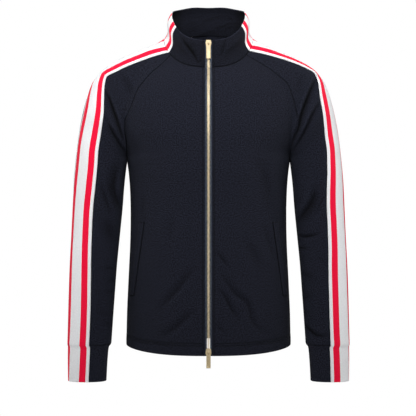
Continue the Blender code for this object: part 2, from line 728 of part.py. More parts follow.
# ---------------------------------------------------------------- objects
def material(name, colour, roughness, metallic=0.0):
    made = bpy.data.materials.get(name) or bpy.data.materials.new(name)
    made.use_nodes = True
    shader = made.node_tree.nodes["Principled BSDF"]
    shader.inputs["Base Color"].default_value = (*colour, 1.0)
    shader.inputs["Roughness"].default_value = roughness
    shader.inputs["Metallic"].default_value = metallic
    return made


def navy_knit():
    return material("navy_knit", (0.012, 0.014, 0.024), 0.9)


def stripe_knit():
    return material("stripe_knit", (0.85, 0.85, 0.87), 0.8)


def zip_cloth():
    return material("zip_cloth", (0.014, 0.018, 0.030), 0.85)


def gold_metal():
    return material("gold_metal", (0.72, 0.55, 0.28), 0.3, 1.0)


def add_mesh(name, points, faces, finish, parent=None):
    """One closed mesh object, with its origin on its parent."""
    mesh = bpy.data.meshes.new(name)
    mesh.from_pydata([tuple(p) for p in points], [], faces)
    mesh.validate()
    mesh.materials.append(finish)
    mesh.shade_smooth()
    mesh.set_sharp_from_angle(angle=math.radians(40))
    obj = bpy.data.objects.new(name, mesh)
    bpy.context.scene.collection.objects.link(obj)
    obj.parent = parent
    return obj


def add_strip(name, rows, thickness, finish):
    """A flat strip of cloth: rows of points with their normals, thickened inwards."""
    points = np.array([p for row in rows for p, _ in row])
    normals = np.array([n for row in rows for _, n in row])
    columns = len(rows[0])
    faces = []
    for i in range(len(rows) - 1):
        for j in range(columns - 1):
            a = i * columns + j
            faces.append([a, a + 1, a + columns + 1, a + columns])
    if normals[0] @ np.cross(points[1] - points[0], points[columns] - points[0]) < 0:
        faces = [f[::-1] for f in faces]
    count = len(points)
    edges = open_edges(faces)
    solid = faces + [[i + count for i in reversed(f)] for f in faces]
    solid += [[b, a, a + count, b + count] for a, b in edges]
    both = np.concatenate([points, points - thickness * normals])
    return add_mesh(name, both, solid, finish)


def add_prism(name, outline, near, far, finish):
    """An outline of x and z, listed against the clock as seen from the front, from y near to far."""
    count = len(outline)
    points = [(x, near, z) for x, z in outline] + [(x, far, z) for x, z in outline]
    faces = [list(range(count)), [i + count for i in reversed(range(count))]]
    faces += [[(i + 1) % count, i, i + count, (i + 1) % count + count] for i in range(count)]
    return add_mesh(name, points, faces, finish)


def add_box(name, low, high, finish):
    (x0, y0, z0), (x1, y1, z1) = low, high
    return add_prism(name, [(x0, z0), (x1, z0), (x1, z1), (x0, z1)], y0, y1, finish)


def combine(target, other, operation):
    """Joins another object to the target, or cuts it out, and removes that other object."""
    modifier = target.modifiers.new(operation.lower(), "BOOLEAN")
    modifier.operation = operation
    modifier.solver = "EXACT"
    modifier.object = other
    bpy.context.view_layer.update()
    graph = bpy.context.evaluated_depsgraph_get()
    mesh = bpy.data.meshes.new_from_object(target.evaluated_get(graph))
    target.modifiers.remove(modifier)
    old = target.data
    target.data = mesh
    bpy.data.meshes.remove(old)
    bpy.data.objects.remove(other)


# ---------------------------------------------------------------- what lies on the cloth
def add_welt(name, surface, piece, corners):
    """A welt laid on a front panel: the panel's own points moved out, and thickened."""
    first, last = WELT_COLUMNS
    rows = [
        row[first : last + 1]
        for row in corners
        if POCKET["z"][0] - WELT_REACH < surface.levels[row[0]] < POCKET["z"][1] + WELT_REACH
    ]
    wanted = {i for row in rows for i in row}
    faces = [f for f in surface.faces[piece] if wanted.issuperset(f)]
    normals = surface.normals(piece)
    outer = {i: surface.points[i] + (SEAM_GAP + WELT_CLOTH) * normals[i] for i in sorted(wanted)}
    inner = {i: surface.points[i] + SEAM_GAP * normals[i] for i in sorted(wanted)}
    return add_mesh(name, *closed_wall(faces, outer, inner), navy_knit())


def zip_rows(walls, front, front_corners, collar, collar_corners):
    """Behind the cloth beside the zip: its edge, the point one step in, and the way out."""
    rows = []
    stretches = ((front, front_corners[:-1]), (collar, collar_corners))
    for piece, corners in stretches:
        _, inner, normals = walls[piece]
        for row in corners:
            normal = unit(normals[row[0]] * [0.0, 1.0, 1.0])
            beside = unit(inner[row[1]] - inner[row[0]])
            edge = inner[row[0]] - BEHIND_GAP * normal
            under = inner[row[0]] + ZIP_TAPE_UNDER * beside - BEHIND_GAP * normals[row[0]]
            rows.append((edge, under, normal, normals[row[0]]))
    return rows


def add_zip_tape(name, rows, side):
    """The cloth tape of the zip: from beside the chain to a little way in under the front."""
    strip = []
    for edge, under, normal, under_normal in rows:
        inner = np.array([side * (CHAIN_WIDTH / 2 + SEAM_GAP), edge[1], edge[2]])
        strip.append([(inner, normal), (edge, normal), (under, under_normal)])
    return add_strip(name, strip, ZIP_TAPE, zip_cloth())


def chain_centre(rows):
    """The chain's middle line, in the plane of the zip tapes."""
    return np.array([edge * [0, 1, 1] - ZIP_TAPE / 2 * normal for edge, _, normal, _ in rows])


def height_on(line, z):
    """The point of a rising line at a height."""
    return points_at(line, [np.interp(z, line[:, 2], lengths_along(line))])[0]


def line_normals(line):
    """Normals of a line in the middle plane, pointing forward."""
    along = np.gradient(line, axis=0)
    normals = np.stack([np.zeros(len(line)), -along[:, 2], along[:, 1]], axis=1)
    return normals / np.linalg.norm(normals, axis=1)[:, None]


def add_chain(name, centre):
    """The closed teeth as one bar along the front, between the two sliders."""
    low, high = BOTTOM_SLIDER_Z - CHAIN_IN_SLIDER, TOP_SLIDER_Z + CHAIN_IN_SLIDER
    half = CHAIN_WIDTH / 2
    inside = [p for p in centre if BOTTOM_SLIDER_Z + half < p[2] < TOP_SLIDER_Z - half]
    line = np.array([height_on(centre, low), *inside, height_on(centre, high)])
    rows = []
    for point, normal in zip(line, line_normals(line)):
        face = point + CHAIN_THICKNESS / 2 * normal
        rows.append([(face + x * ACROSS, normal) for x in (-half, half)])
    return add_strip(name, rows, CHAIN_THICKNESS, gold_metal())


def slider_frame(name, centre, z, upright):
    """An empty at a slider's middle, with its Z along the zip and its Y into the jacket."""
    reach = SLIDER_LENGTH / 4
    along = height_on(centre, z + reach) - height_on(centre, z - reach)
    lean = math.atan2(-along[1], along[2])
    frame = bpy.data.objects.new(name, None)
    bpy.context.scene.collection.objects.link(frame)
    frame.location = height_on(centre, z)
    frame.rotation_euler = (lean if upright else -lean, 0.0 if upright else math.pi, 0.0)
    return frame


def add_slider(name, frame):
    """Front and back plates, the post between them and the bail, as one body."""
    gap = CHAIN_THICKNESS / 2 + SEAM_GAP
    face = gap + SLIDER_PLATE
    half, nose, length = SLIDER_WIDTH / 2, SLIDER_NOSE_WIDTH / 2, SLIDER_LENGTH / 2
    widest, top = SLIDER_WIDEST * length, SLIDER_TOP_WIDTH * half
    right_half = [(nose, -length), (half, widest), (top, length)]
    outline = right_half + [(-x, z) for x, z in reversed(right_half)]
    slider = add_prism(name, outline, -face, -gap, gold_metal())
    combine(slider, add_prism("back_plate", outline, gap, face, gold_metal()), "UNION")
    low, high = (share * length for share in POST_SPAN)
    post_low = (-POST_WIDTH / 2, BITE - face, low)
    post_high = (POST_WIDTH / 2, face - BITE, high)
    combine(slider, add_box("post", post_low, post_high, gold_metal()), "UNION")
    bail_low = np.array([-BAIL_WIDTH / 2, -face - BAIL_HEIGHT, -BAIL_LENGTH / 2])
    bail_high = np.array([BAIL_WIDTH / 2, BITE - face, BAIL_LENGTH / 2])
    bail = add_box("bail", bail_low, bail_high, gold_metal())
    wall = np.array([-BAIL_WIDTH, BAIL_WALL, BAIL_WALL])
    under = np.array([-BAIL_WIDTH, 2 * BITE, BAIL_WALL])
    window = add_box("bail_window", bail_low + wall, bail_high - under, gold_metal())
    combine(bail, window, "DIFFERENCE")
    combine(slider, bail, "UNION")
    slider.data.name = name
    slider.parent = frame
    return slider


def add_pull(name, frame, upright):
    """The pull: a bar under the bail and the grip that hangs from it, about a pivot on the bar."""
    face = CHAIN_THICKNESS / 2 + SEAM_GAP + SLIDER_PLATE
    half, thick, hole = PULL_WIDTH / 2, PULL_THICKNESS / 2, PULL_HOLE_WIDTH / 2
    top = PULL_BAR_RADIUS
    pull = add_box(name, (-half, -thick, -PULL_LENGTH), (half, thick, top), gold_metal())
    hole_low = (-hole, -PULL_THICKNESS, -PULL_HOLE_LENGTH)
    hole_high = (hole, PULL_THICKNESS, -PULL_BAR_RADIUS)
    combine(pull, add_box("pull_hole", hole_low, hole_high, gold_metal()), "DIFFERENCE")
    pull.data.name = name
    pivot = bpy.data.objects.new(f"{name}_pivot", None)
    bpy.context.scene.collection.objects.link(pivot)
    pivot.parent = frame
    pivot.location = (0.0, -face - PULL_BAR_STANDS, 0.0)
    # The upper pull lies along the zip below it. The lower one hangs free, straight down.
    if not upright:
        pivot.rotation_euler = (frame.rotation_euler.x, math.pi, 0.0)
    pull.parent = pivot
    return pull


# ---------------------------------------------------------------- the jacket
def build_jacket():
    front_rows, back_rows = body_patches()
    bands = slice(SLEEVE_FRONT_STEPS, SLEEVE_FRONT_STEPS + len(STRIPE_BANDS) + 1)
    before, after = slice(0, bands.start + 1), slice(bands.stop - 1, None)
    collar_bands = slice(FRONT_STEPS + bands.start, FRONT_STEPS + bands.stop)
    cuff_seam = CUFF_ROWS + 1

    surface = Surface()
    fronts, collars = {}, {}
    for side, word, turn in ((1.0, "left", -STRIPE_TURN), (-1.0, "right", STRIPE_TURN)):
        sleeve_rows, collar_rows = sleeve_patch(turn), collar_patch(turn)
        fronts[word] = surface.add(f"front_{word}", front_rows, side)
        surface.add("back", back_rows, side)
        surface.add(f"sleeve_front_{word}", sleeve_rows[cuff_seam:, before], side)
        surface.add(f"stripe_sleeve_{word}", sleeve_rows[:, bands], side)
        surface.add(f"sleeve_back_{word}", sleeve_rows[cuff_seam:, after], side)
        surface.add(f"cuff_{word}", sleeve_rows[: cuff_seam + 1, before], side)
        surface.add(f"cuff_{word}", sleeve_rows[: cuff_seam + 1, after], side)
        to_stripe = collar_rows[:, : collar_bands.start + 1]
        collars[word] = surface.add(f"collar_front_{word}", to_stripe, side)
        surface.add(f"stripe_collar_{word}", collar_rows[:, collar_bands], side)
        surface.add("collar_back", collar_rows[:, collar_bands.stop - 1 :], side)
    surface.split()
    surface.press_folds()
    surface.split()
    walls = piece_walls(surface)
    for piece, (outer, inner, _) in walls.items():
        points, faces = closed_wall(surface.faces[piece], outer, inner)
        add_mesh(piece, points, faces, stripe_knit() if "stripe" in piece else navy_knit())

    for side, word in ((1.0, "left"), (-1.0, "right")):
        front, collar = f"front_{word}", f"collar_front_{word}"
        add_welt(f"pocket_welt_{word}", surface, front, fronts[word])
        rows = zip_rows(walls, front, fronts[word], collar, collars[word])
        add_zip_tape(f"zip_tape_{word}", rows, side)
    centre = chain_centre(rows)
    add_chain("zip_chain", centre)
    for word, z, upright in (("top", TOP_SLIDER_Z, True), ("bottom", BOTTOM_SLIDER_Z, False)):
        frame = slider_frame(f"slider_frame_{word}", centre, z, upright)
        add_slider(f"slider_{word}", frame)
        add_pull(f"pull_{word}", frame, upright)


def main():
    for old in list(bpy.data.objects):
        bpy.data.objects.remove(old)
    build_jacket()


main()
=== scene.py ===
# %% [markdown]
# # A zip-front track jacket, worn and filled out
# The imported part is the frame of this scene: its solids have the jacket's true shape at its real
# size. Each soft solid is replaced here by a finer shell of cloth on the same form, with creases,
# seams and stitches, and the zip gets its teeth. The frame is loaded first because every new
# piece is placed by it.

# %% Load the imported frame
import math

import bmesh
import bpy
import numpy as np
from mathutils import Matrix, Vector
from mathutils.bvhtree import BVHTree


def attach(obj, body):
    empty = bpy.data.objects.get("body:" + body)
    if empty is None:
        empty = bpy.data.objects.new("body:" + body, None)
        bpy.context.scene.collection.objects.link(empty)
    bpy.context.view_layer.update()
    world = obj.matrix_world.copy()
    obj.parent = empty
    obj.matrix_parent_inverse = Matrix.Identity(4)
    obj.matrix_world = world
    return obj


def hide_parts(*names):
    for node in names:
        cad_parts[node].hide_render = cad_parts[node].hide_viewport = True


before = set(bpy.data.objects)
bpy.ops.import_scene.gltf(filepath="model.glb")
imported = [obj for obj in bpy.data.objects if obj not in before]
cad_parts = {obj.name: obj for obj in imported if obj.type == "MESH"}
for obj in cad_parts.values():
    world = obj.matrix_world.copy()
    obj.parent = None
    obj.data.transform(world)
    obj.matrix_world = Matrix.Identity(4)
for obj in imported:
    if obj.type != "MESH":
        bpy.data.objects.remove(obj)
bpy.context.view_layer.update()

# %% [markdown]
# ## The camera
# The jacket was photographed straight from the front, from a little over two metres away, with
# the lens level with the middle of the body. A long lens does that: 94 mm on a 36 mm wide frame
# covers 0.915 m at the jacket's middle.

# %% Camera
CAMERA_AWAY = 2.40
CAMERA_HEIGHT = -0.368
SEEN_WIDTH = 0.915  # how much of the jacket's middle plane the square frame takes in
PICTURE_PIXELS = 416
MIDDLE_PIXEL = 208.5  # the picture's column where the jacket's middle plane falls

camera_data = bpy.data.cameras.new("front_camera")
camera_data.sensor_width = 36.0
camera_data.lens = camera_data.sensor_width * CAMERA_AWAY / SEEN_WIDTH
camera_data.shift_x = (PICTURE_PIXELS / 2 - MIDDLE_PIXEL) / PICTURE_PIXELS
camera = bpy.data.objects.new("front_camera", camera_data)
bpy.context.scene.collection.objects.link(camera)
camera.location = (0.0, -CAMERA_AWAY, CAMERA_HEIGHT)
camera.rotation_euler = (math.radians(90), 0.0, 0.0)
bpy.context.scene.camera = camera
print("lens", round(camera_data.lens, 1), "mm")

# %% [markdown]
# ## Floor and light
# A studio cut-out has no corner and no horizon, so the jacket hangs over a round pale table, just
# below the picture, before a white surround. The light is soft, from big panels, because cloth
# shows its folds in slow changes of tone and a hard lamp would draw lines. The main panel is high
# in front, with its light held in a narrow angle: it makes the chest the lightest part and leaves
# the hem, the sleeves' inner sides and the folds darker. The surround is bright to look at, but
# gives only a part of that as light, which a Light Path node in the world can do.

# %% Floor
FLOOR_Z, FLOOR_RADIUS, FLOOR_THICK = -1.02, 0.85, 0.04


def add_floor():
    """A round table top with a rounded edge."""
    bpy.ops.object.select_all(action="DESELECT")
    place = (0, 0, FLOOR_Z - FLOOR_THICK / 2)
    bpy.ops.mesh.primitive_cylinder_add(
        vertices=96, radius=FLOOR_RADIUS, depth=FLOOR_THICK, location=place
    )
    floor = bpy.context.object
    floor.name = "floor"
    bpy.ops.object.transform_apply(location=True, rotation=True, scale=True)
    edge = floor.modifiers.new("edge", "BEVEL")
    edge.width, edge.segments, edge.limit_method = 0.012, 4, "ANGLE"
    bpy.ops.object.modifier_apply(modifier=edge.name)
    bpy.ops.object.shade_smooth_by_angle(angle=math.radians(40))
    paint = bpy.data.materials.new("floor_paint")
    paint.use_nodes = True
    shader = paint.node_tree.nodes["Principled BSDF"]
    shader.inputs["Base Color"].default_value = (0.93, 0.93, 0.93, 1)
    shader.inputs["Roughness"].default_value = 0.9
    shader.inputs["Specular IOR Level"].default_value = 0.1
    floor.data.materials.append(paint)


add_floor()
print("floor", 2 * FLOOR_RADIUS, "m across")

# %% Light panels and surround
SURROUND_LIGHT = 0.13
MIDDLE = (0.0, 0.0, -0.34)
PANELS = (
    # name, place, aim, size in metres, power in watts, spread in degrees
    ("key_panel", (-0.06, -1.62, 0.72), (0.0, 0.0, -0.16), 0.6, 4.9, 60),
    ("left_panel", (-2.2, 0.3, 0.2), MIDDLE, 1.2, 17, 180),
    ("right_panel", (2.2, 0.3, 0.2), MIDDLE, 1.2, 17, 180),
    ("top_panel", (0.0, 0.5, 2.2), MIDDLE, 1.6, 7, 180),
    ("back_panel", (0.5, 2.4, 0.9), MIDDLE, 1.6, 34, 180),
)


def add_panel(name, place, aim, size, power, spread):
    """A soft square light panel turned towards a point, its light held within an angle."""
    data = bpy.data.lights.new(name, "AREA")
    data.shape = "SQUARE"
    data.size = size
    data.energy = power
    data.spread = math.radians(spread)
    panel = bpy.data.objects.new(name, data)
    bpy.context.scene.collection.objects.link(panel)
    panel.location = place
    panel.rotation_euler = (Vector(aim) - Vector(place)).to_track_quat("-Z", "Y").to_euler()


for panel in PANELS:
    add_panel(*panel)

surround = bpy.context.scene.world or bpy.data.worlds.new("surround")
bpy.context.scene.world = surround
surround.use_nodes = True
sky = surround.node_tree
seen = sky.nodes.new("ShaderNodeLightPath").outputs["Is Camera Ray"]
strength = sky.nodes.new("ShaderNodeMapRange")
strength.inputs["To Min"].default_value = SURROUND_LIGHT
strength.inputs["To Max"].default_value = 1.0
sky.links.new(seen, strength.inputs["Value"])
sky.links.new(strength.outputs["Result"], sky.nodes["Background"].inputs["Strength"])
sky.nodes["Background"].inputs["Color"].default_value = (1, 1, 1, 1)
bpy.context.scene.view_settings.view_transform = "Standard"
print(len(PANELS), "light panels and a white surround")

# %% [markdown]
# ## The sizes of the jacket
# These are the jacket's own sections, the same as those the solids were made from: how wide and
# deep the body and the sleeve are at each height, where the raglan seams run, and the rings of
# the neck seam and the collar's top. The script repeats them because it reads no other file, and
# because a finer shell worked out from the same numbers lies on the solid's form. Only two kinds
# of line differ from the solids': the front raglan seams and the tape's front edge have a table
# for each side, because on the worn jacket they don't lie alike. Both are moved along the cloth,
# which keeps its form.

# %% Sections of the body and the sleeves
HEM_Z = -0.667
HEM_TURN = 0.026
UNDERARM_Z = -0.262
SLEEVE_TOP_Z = -0.251
CUFF_TOP_Z = -0.662
CUFF_END_Z = -0.740
ZIP_SLIT = 0.0156
TAPE_BANDS = (0.007, 0.014, 0.026, 0.014, 0.007)
TAPE_WIDTH = sum(TAPE_BANDS)

BODY = {
    "z": (-0.676, -0.600, -0.520, -0.430, -0.360, -0.319, -0.290, -0.262),
    "half_width": (0.1805, 0.1790, 0.1755, 0.1715, 0.1712, 0.1728, 0.1753, 0.1785),
    "front": (0.1180, 0.1130, 0.1070, 0.1030, 0.1045, 0.1090, 0.1132, 0.1160),
    "back": (0.1080, 0.1040, 0.0980, 0.0920, 0.0940, 0.0995, 0.1043, 0.1080),
}
SLEEVE = {
    "z": (-0.250, -0.310, -0.370, -0.430, -0.490, -0.550, -0.610, -0.662),
    "middle_x": (0.2338, 0.2400, 0.2436, 0.2474, 0.2513, 0.2538, 0.2558, 0.2574),
    "half_width": (0.0553, 0.0554, 0.0547, 0.0530, 0.0515, 0.0502, 0.0486, 0.0473),
    "middle_y": (0.0000, -0.0010, -0.0030, -0.0080, -0.0150, -0.0230, -0.0320, -0.0400),
    "half_depth": (0.0510, 0.0480, 0.0435, 0.0395, 0.0365, 0.0345, 0.0325, 0.0305),
}
CUFF = {
    "z": (-0.662, -0.690, -0.740),
    "middle_x": (0.2590, 0.2605, 0.2612),
    "half_width": (0.0446, 0.0430, 0.0412),
    "middle_y": (-0.0400, -0.0430, -0.0470),
    "half_depth": (0.0285, 0.0270, 0.0258),
}
print("body", 2 * max(BODY["half_width"]), "m wide, sleeve", CUFF_END_Z, "m down")

# %% Lines of the tape, the raglan seams and the neck
TAPE_DOWN = {  # how far the tape's front edge lies in front of the sleeve's outermost line
    "z": (-0.250, -0.288, -0.324, -0.361, -0.398, -0.435, -0.508, -0.582, -0.655, -0.700, -0.740),
    "left": (0.062, 0.0642, 0.0665, 0.0663, 0.0642, 0.0626, 0.0632, 0.0618, 0.059, 0.056, 0.054),
    "right": (0.081, 0.0808, 0.078, 0.0732, 0.0705, 0.0689, 0.0686, 0.0681, 0.065, 0.062, 0.059),
}
TAPE_OVER = {  # the same over the shoulder, from the underarm at 0 to the neck at 1
    "at": (0.00, 0.12, 0.19, 0.27, 0.34, 0.42, 0.50, 0.58, 0.66, 0.75, 0.83, 0.91, 1.00),
    "left": (0.062, 0.0612, 0.0602, 0.06, 0.0575, 0.0522, 0.041, 0.027, 0.0325, 0.0372, 0.0395,
             0.0425, 0.045),
    "right": (0.081, 0.0812, 0.0826, 0.085, 0.082, 0.0737, 0.0618, 0.0475, 0.052, 0.0526, 0.0512,
              0.05, 0.051),
}
TAPE_AT_COLLAR_TOP = {"left": 0.0490, "right": 0.0530}
SEAM_MOVED = {  # how far the front raglan seam lies out from its place in the solids
    "at": (0.00, 0.19, 0.34, 0.42, 0.50, 0.58, 0.66, 0.75, 0.83, 0.91, 1.00),
    "left": (0.0, 0.0060, 0.0116, 0.0109, 0.0100, 0.0104, 0.0130, 0.0091, 0.0085, 0.0056, 0.0),
    "right": (0.0, 0.0, 0.0, -0.0085, -0.0140, -0.0141, -0.0120, -0.0108, -0.0068, -0.0045, 0.0),
}
RAGLAN = {
    "at": (0.00, 0.12, 0.25, 0.37, 0.48, 0.58, 0.68, 0.78, 0.88, 1.00),
    "front_x": (0.1785, 0.1772, 0.1785, 0.1790, 0.1760, 0.1690, 0.1570, 0.1385, 0.1135, 0.0810),
    "front_y": (0.0, -0.034, -0.055, -0.063, -0.067, -0.069, -0.069, -0.0665, -0.06, -0.0503),
    "front_z": (-0.262, -0.238, -0.205, -0.176, -0.15, -0.127, -0.106, -0.085, -0.065, -0.0382),
    "ridge_x": (0.2890, 0.2838, 0.2760, 0.2665, 0.2545, 0.2375, 0.2130, 0.1780, 0.1410, 0.0980),
    "ridge_z": (-0.24, -0.2020, -0.1610, -0.1260, -0.0940, -0.0710, -0.0525, -0.0350, -0.0200, 0.0),
    "back_x": (0.1785, 0.1775, 0.1745, 0.1690, 0.1610, 0.1510, 0.1380, 0.1220, 0.1030, 0.0803),
    "back_y": (0.0000, 0.0350, 0.0590, 0.0720, 0.0800, 0.0840, 0.0850, 0.0800, 0.0665, 0.0400),
    "back_z": (-0.262, -0.237, -0.202, -0.172, -0.144, -0.118, -0.091, -0.063, -0.031, 0.0132),
}
SEAM_TURN = {
    "at": (0.00, 0.12, 0.25, 0.37, 0.48, 0.58, 0.68, 0.78, 0.88, 1.00),
    "body": (90.0, 72.0, 55.0, 44.0, 38.0, 35.0, 35.0, 38.0, 43.0, 50.0),
    "sleeve": (-90.0, -60.0, -28.0, -4.0, 12.0, 21.0, 28.0, 35.0, 42.0, 50.0),
    "body_rise": (0.0, 2.0, 5.0, 9.0, 14.0, 20.0, 26.0, 31.0, 35.0, 38.0),
    "sleeve_rise": (0.0, 5.0, 11.0, 19.0, 26.0, 31.0, 35.0, 38.0, 39.0, 38.0),
    "back_body_fall": (0.0, 0.0, 0.0, -2.0, -4.0, -6.0, -7.0, -7.0, -6.0, -5.0),
    "back_sleeve_fall": (0.0, 5.0, 11.0, 19.0, 25.0, 28.0, 28.0, 23.0, 12.0, -5.0),
    "seam_reach": (0.0667, 0.0500, 0.0385, 0.0315, 0.0270, 0.0245, 0.0235, 0.0225, 0.0215, 0.0210),
    "ridge_reach": (0.0667, 0.0600, 0.0550, 0.0520, 0.0500, 0.0480, 0.0440, 0.0370, 0.0290, 0.0220),
}
FRONT_LINE = {
    "z": (-0.262, -0.210, -0.150, -0.110, -0.069),
    "y": (-0.1160, -0.1180, -0.1110, -0.1010, -0.0850),
}
BACK_LINE = {
    "z": (-0.262, -0.200, -0.140, -0.080, -0.030, 0.022),
    "y": (0.1080, 0.1140, 0.1160, 0.1090, 0.0950, 0.0740),
}
NECK_SEAM = {
    "half_width": 0.0980, "front": -0.0850, "back": 0.0740,
    "front_z": -0.0690, "side_z": 0.0, "back_z": 0.0220,
}
COLLAR_TOP = {
    "half_width": 0.0815, "front": -0.0800, "back": 0.0720,
    "front_z": -0.0110, "side_z": 0.0575, "back_z": 0.0855,
}
RAGLAN_AT_NECK = 55.7
BACK_RAGLAN_AT_NECK = 125.0
print("neck seam", 2 * NECK_SEAM["half_width"], "m across")

# %% [markdown]
# ## Rows of the jacket
# Cloth on a body has no flat faces, so each level is drawn as smooth curves: two for the body,
# two for the sleeve. Above the underarm the four join at the raglan seams and climb together to
# the neck. Bezier curves suit this, because their handles say which way the cloth runs where it
# meets a seam.

# %% Curve helpers
DENSE = 120
ACROSS = np.array([1.0, 0.0, 0.0])
BACKWARD = np.array([0.0, 1.0, 0.0])


def hermite(t, gap, start, end, start_slope, end_slope):
    """A cubic curve between two rows, from their values and their slopes."""
    return (
        (2 * t**3 - 3 * t**2 + 1) * start
        + (t**3 - 2 * t**2 + t) * gap * start_slope
        + (3 * t**2 - 2 * t**3) * end
        + (t**3 - t**2) * gap * end_slope
    )


def smooth_value(table, key, column, at):
    """A table's column read between its rows, on a smooth curve through them."""
    places, values = np.asarray(table[key], float), np.asarray(table[column], float)
    if places[0] > places[-1]:
        places, values = places[::-1], values[::-1]
    slopes = np.gradient(values, places)
    at = np.clip(at, places[0], places[-1])
    i = np.clip(np.searchsorted(places, at) - 1, 0, len(places) - 2)
    step = places[i + 1] - places[i]
    t = (at - places[i]) / step
    return hermite(t, step, values[i], values[i + 1], slopes[i], slopes[i + 1])


def bezier(controls, at=np.linspace(0.0, 1.0, DENSE)):
    start, start_handle, end_handle, end = controls
    t = at[:, None]
    return (
        (1 - t) ** 3 * start
        + 3 * (1 - t) ** 2 * t * start_handle
        + 3 * (1 - t) * t**2 * end_handle
        + t**3 * end
    )


def cut_curve(controls, y, keep_start):
    """The part of a curve before, or after, the place where it reaches y."""
    places = np.linspace(0.5, 1.0, 300) if keep_start else np.linspace(0.0, 0.5, 300)
    t = places[np.argmin(np.abs(bezier(controls, at=places)[:, 1] - y))]
    a, b, c, d = controls
    ab, bc, cd = a + t * (b - a), b + t * (c - b), c + t * (d - c)
    abc, bcd = ab + t * (bc - ab), bc + t * (cd - bc)
    middle = abc + t * (bcd - abc)
    return np.array([a, ab, abc, middle] if keep_start else [middle, bcd, cd, d])


def between_ends(controls, start, end):
    a, b, c, d = controls
    return np.array([start, b + start - a, c + end - d, end])


def lengths_along(line):
    return np.concatenate([[0.0], np.cumsum(np.linalg.norm(np.diff(line, axis=0), axis=1))])


def columns_at(values, along, distances):
    """Each column of values, read at distances along them."""
    return np.stack([np.interp(distances, along, values[:, i]) for i in range(3)], axis=1)


def points_at(line, distances):
    return columns_at(line, lengths_along(line), distances)


def heading(turn, rise):
    """Unit vector turned from +X towards +Y, and raised, in degrees."""
    turn, rise = math.radians(turn), math.radians(rise)
    flat = math.cos(rise)
    return np.array([math.cos(turn) * flat, math.sin(turn) * flat, math.sin(rise)])


print("curves of", DENSE, "points")


# %% Rows of the body below the underarm
BODY_HANDLES = {"front": 0.62, "front_side": 0.60, "back_side": 0.64, "back": 0.65}
HEM_DIP, HEM_DIP_TALL = 0.011, 0.12  # the front's hem hangs lower towards the zip


def body_controls(z):
    columns = ("half_width", "front", "back")
    half_width, front, back = (smooth_value(BODY, "z", column, z) for column in columns)
    side = np.array([half_width, 0.0, z])
    front_edge = np.array([ZIP_SLIT / 2, -front, z])
    back_middle = np.array([0.0, back, z])
    front_handle = front_edge + BODY_HANDLES["front"] * half_width * ACROSS
    back_handle = back_middle + BODY_HANDLES["back"] * half_width * ACROSS
    before_side = side - BODY_HANDLES["front_side"] * front * BACKWARD
    behind_side = side + BODY_HANDLES["back_side"] * back * BACKWARD
    return (
        np.array([front_edge, front_handle, before_side, side]),
        np.array([side, behind_side, back_handle, back_middle]),
    )


def body_row(z):
    front_line, back_line = (bezier(controls) for controls in body_controls(z))
    low = max(0.0, 1 - (z - HEM_Z) / HEM_DIP_TALL)
    dip = HEM_DIP * low**2 * (1 - (front_line[:, 0] / front_line[-1, 0]) ** 3)
    front_line[:, 2] -= dip
    return front_line, back_line


WAIST_Z = -0.43
half_round = sum(lengths_along(line)[-1] for line in body_row(WAIST_Z))
print("half round the body at the waist", round(half_round, 3))


# %% Rows of the sleeve and cuff
SLEEVE_SLANT, SLANT_TALL = 0.011, 0.16  # near its top a sleeve's rings slope up outwards


def half_rings(inner, outer, half_depth):
    """Handles of a ring's front and back halves, from its inner side round."""
    reach = 4 / 3 * half_depth * BACKWARD
    return (
        np.array([inner, inner - reach, outer - reach, outer]),
        np.array([outer, outer + reach, inner + reach, inner]),
    )


def sleeve_ring(table, z):
    """Front and back halves of one ring, from its inner side round."""
    names = ("middle_x", "half_width", "middle_y", "half_depth")
    middle_x, half_width, middle_y, half_depth = (smooth_value(table, "z", n, z) for n in names)
    near_top = max(0.0, 1 - (SLEEVE_TOP_Z - z) / SLANT_TALL)
    slope = SLEEVE_SLANT * near_top**2 if table is SLEEVE else 0.0
    inner = np.array([middle_x - half_width, middle_y, z - slope])
    outer = np.array([middle_x + half_width, middle_y, z + slope])
    return [bezier(half) for half in half_rings(inner, outer, half_depth)]


def sleeve_top_controls():
    under = np.array([RAGLAN["front_x"][0], 0.0, UNDERARM_Z])
    outer = np.array([RAGLAN["ridge_x"][0], 0.0, RAGLAN["ridge_z"][0]])
    return half_rings(under, outer, SLEEVE["half_depth"][0])


elbow = np.concatenate(sleeve_ring(SLEEVE, WAIST_Z))
print("round the sleeve at the elbow", round(lengths_along(elbow)[-1], 3))


# %% Rows above the underarm, and the rings of the neck
FRONT_HANDLE, BACK_HANDLE = (0.51, 0.16), (0.50, 0.14)  # at the underarm, and how much it shortens
SEAM_HANDLES = (0.34, 0.33)  # the body's, where it meets the front and the back raglan seam
SLEEVE_CUT = 0.044  # the sleeve's top ring is cut no further than this from its middle
YOKE_FROM = 0.42  # below this row the yoke still changes from the form under the arm


def ring_point(ring, degrees):
    """A point of the neck seam or the collar's top edge, measured round from the front."""
    angle = math.radians(degrees)
    level = (ring["front_z"] + ring["back_z"]) / 2
    tilt = (ring["back_z"] - ring["front_z"]) / 2
    lift = (ring["side_z"] - level) * math.sin(angle) ** 4
    middle_y = (ring["front"] + ring["back"]) / 2
    y = middle_y - (ring["back"] - ring["front"]) / 2 * math.cos(angle)
    z = level - tilt * math.cos(angle) + lift
    return np.array([ring["half_width"] * math.sin(angle), y, z])


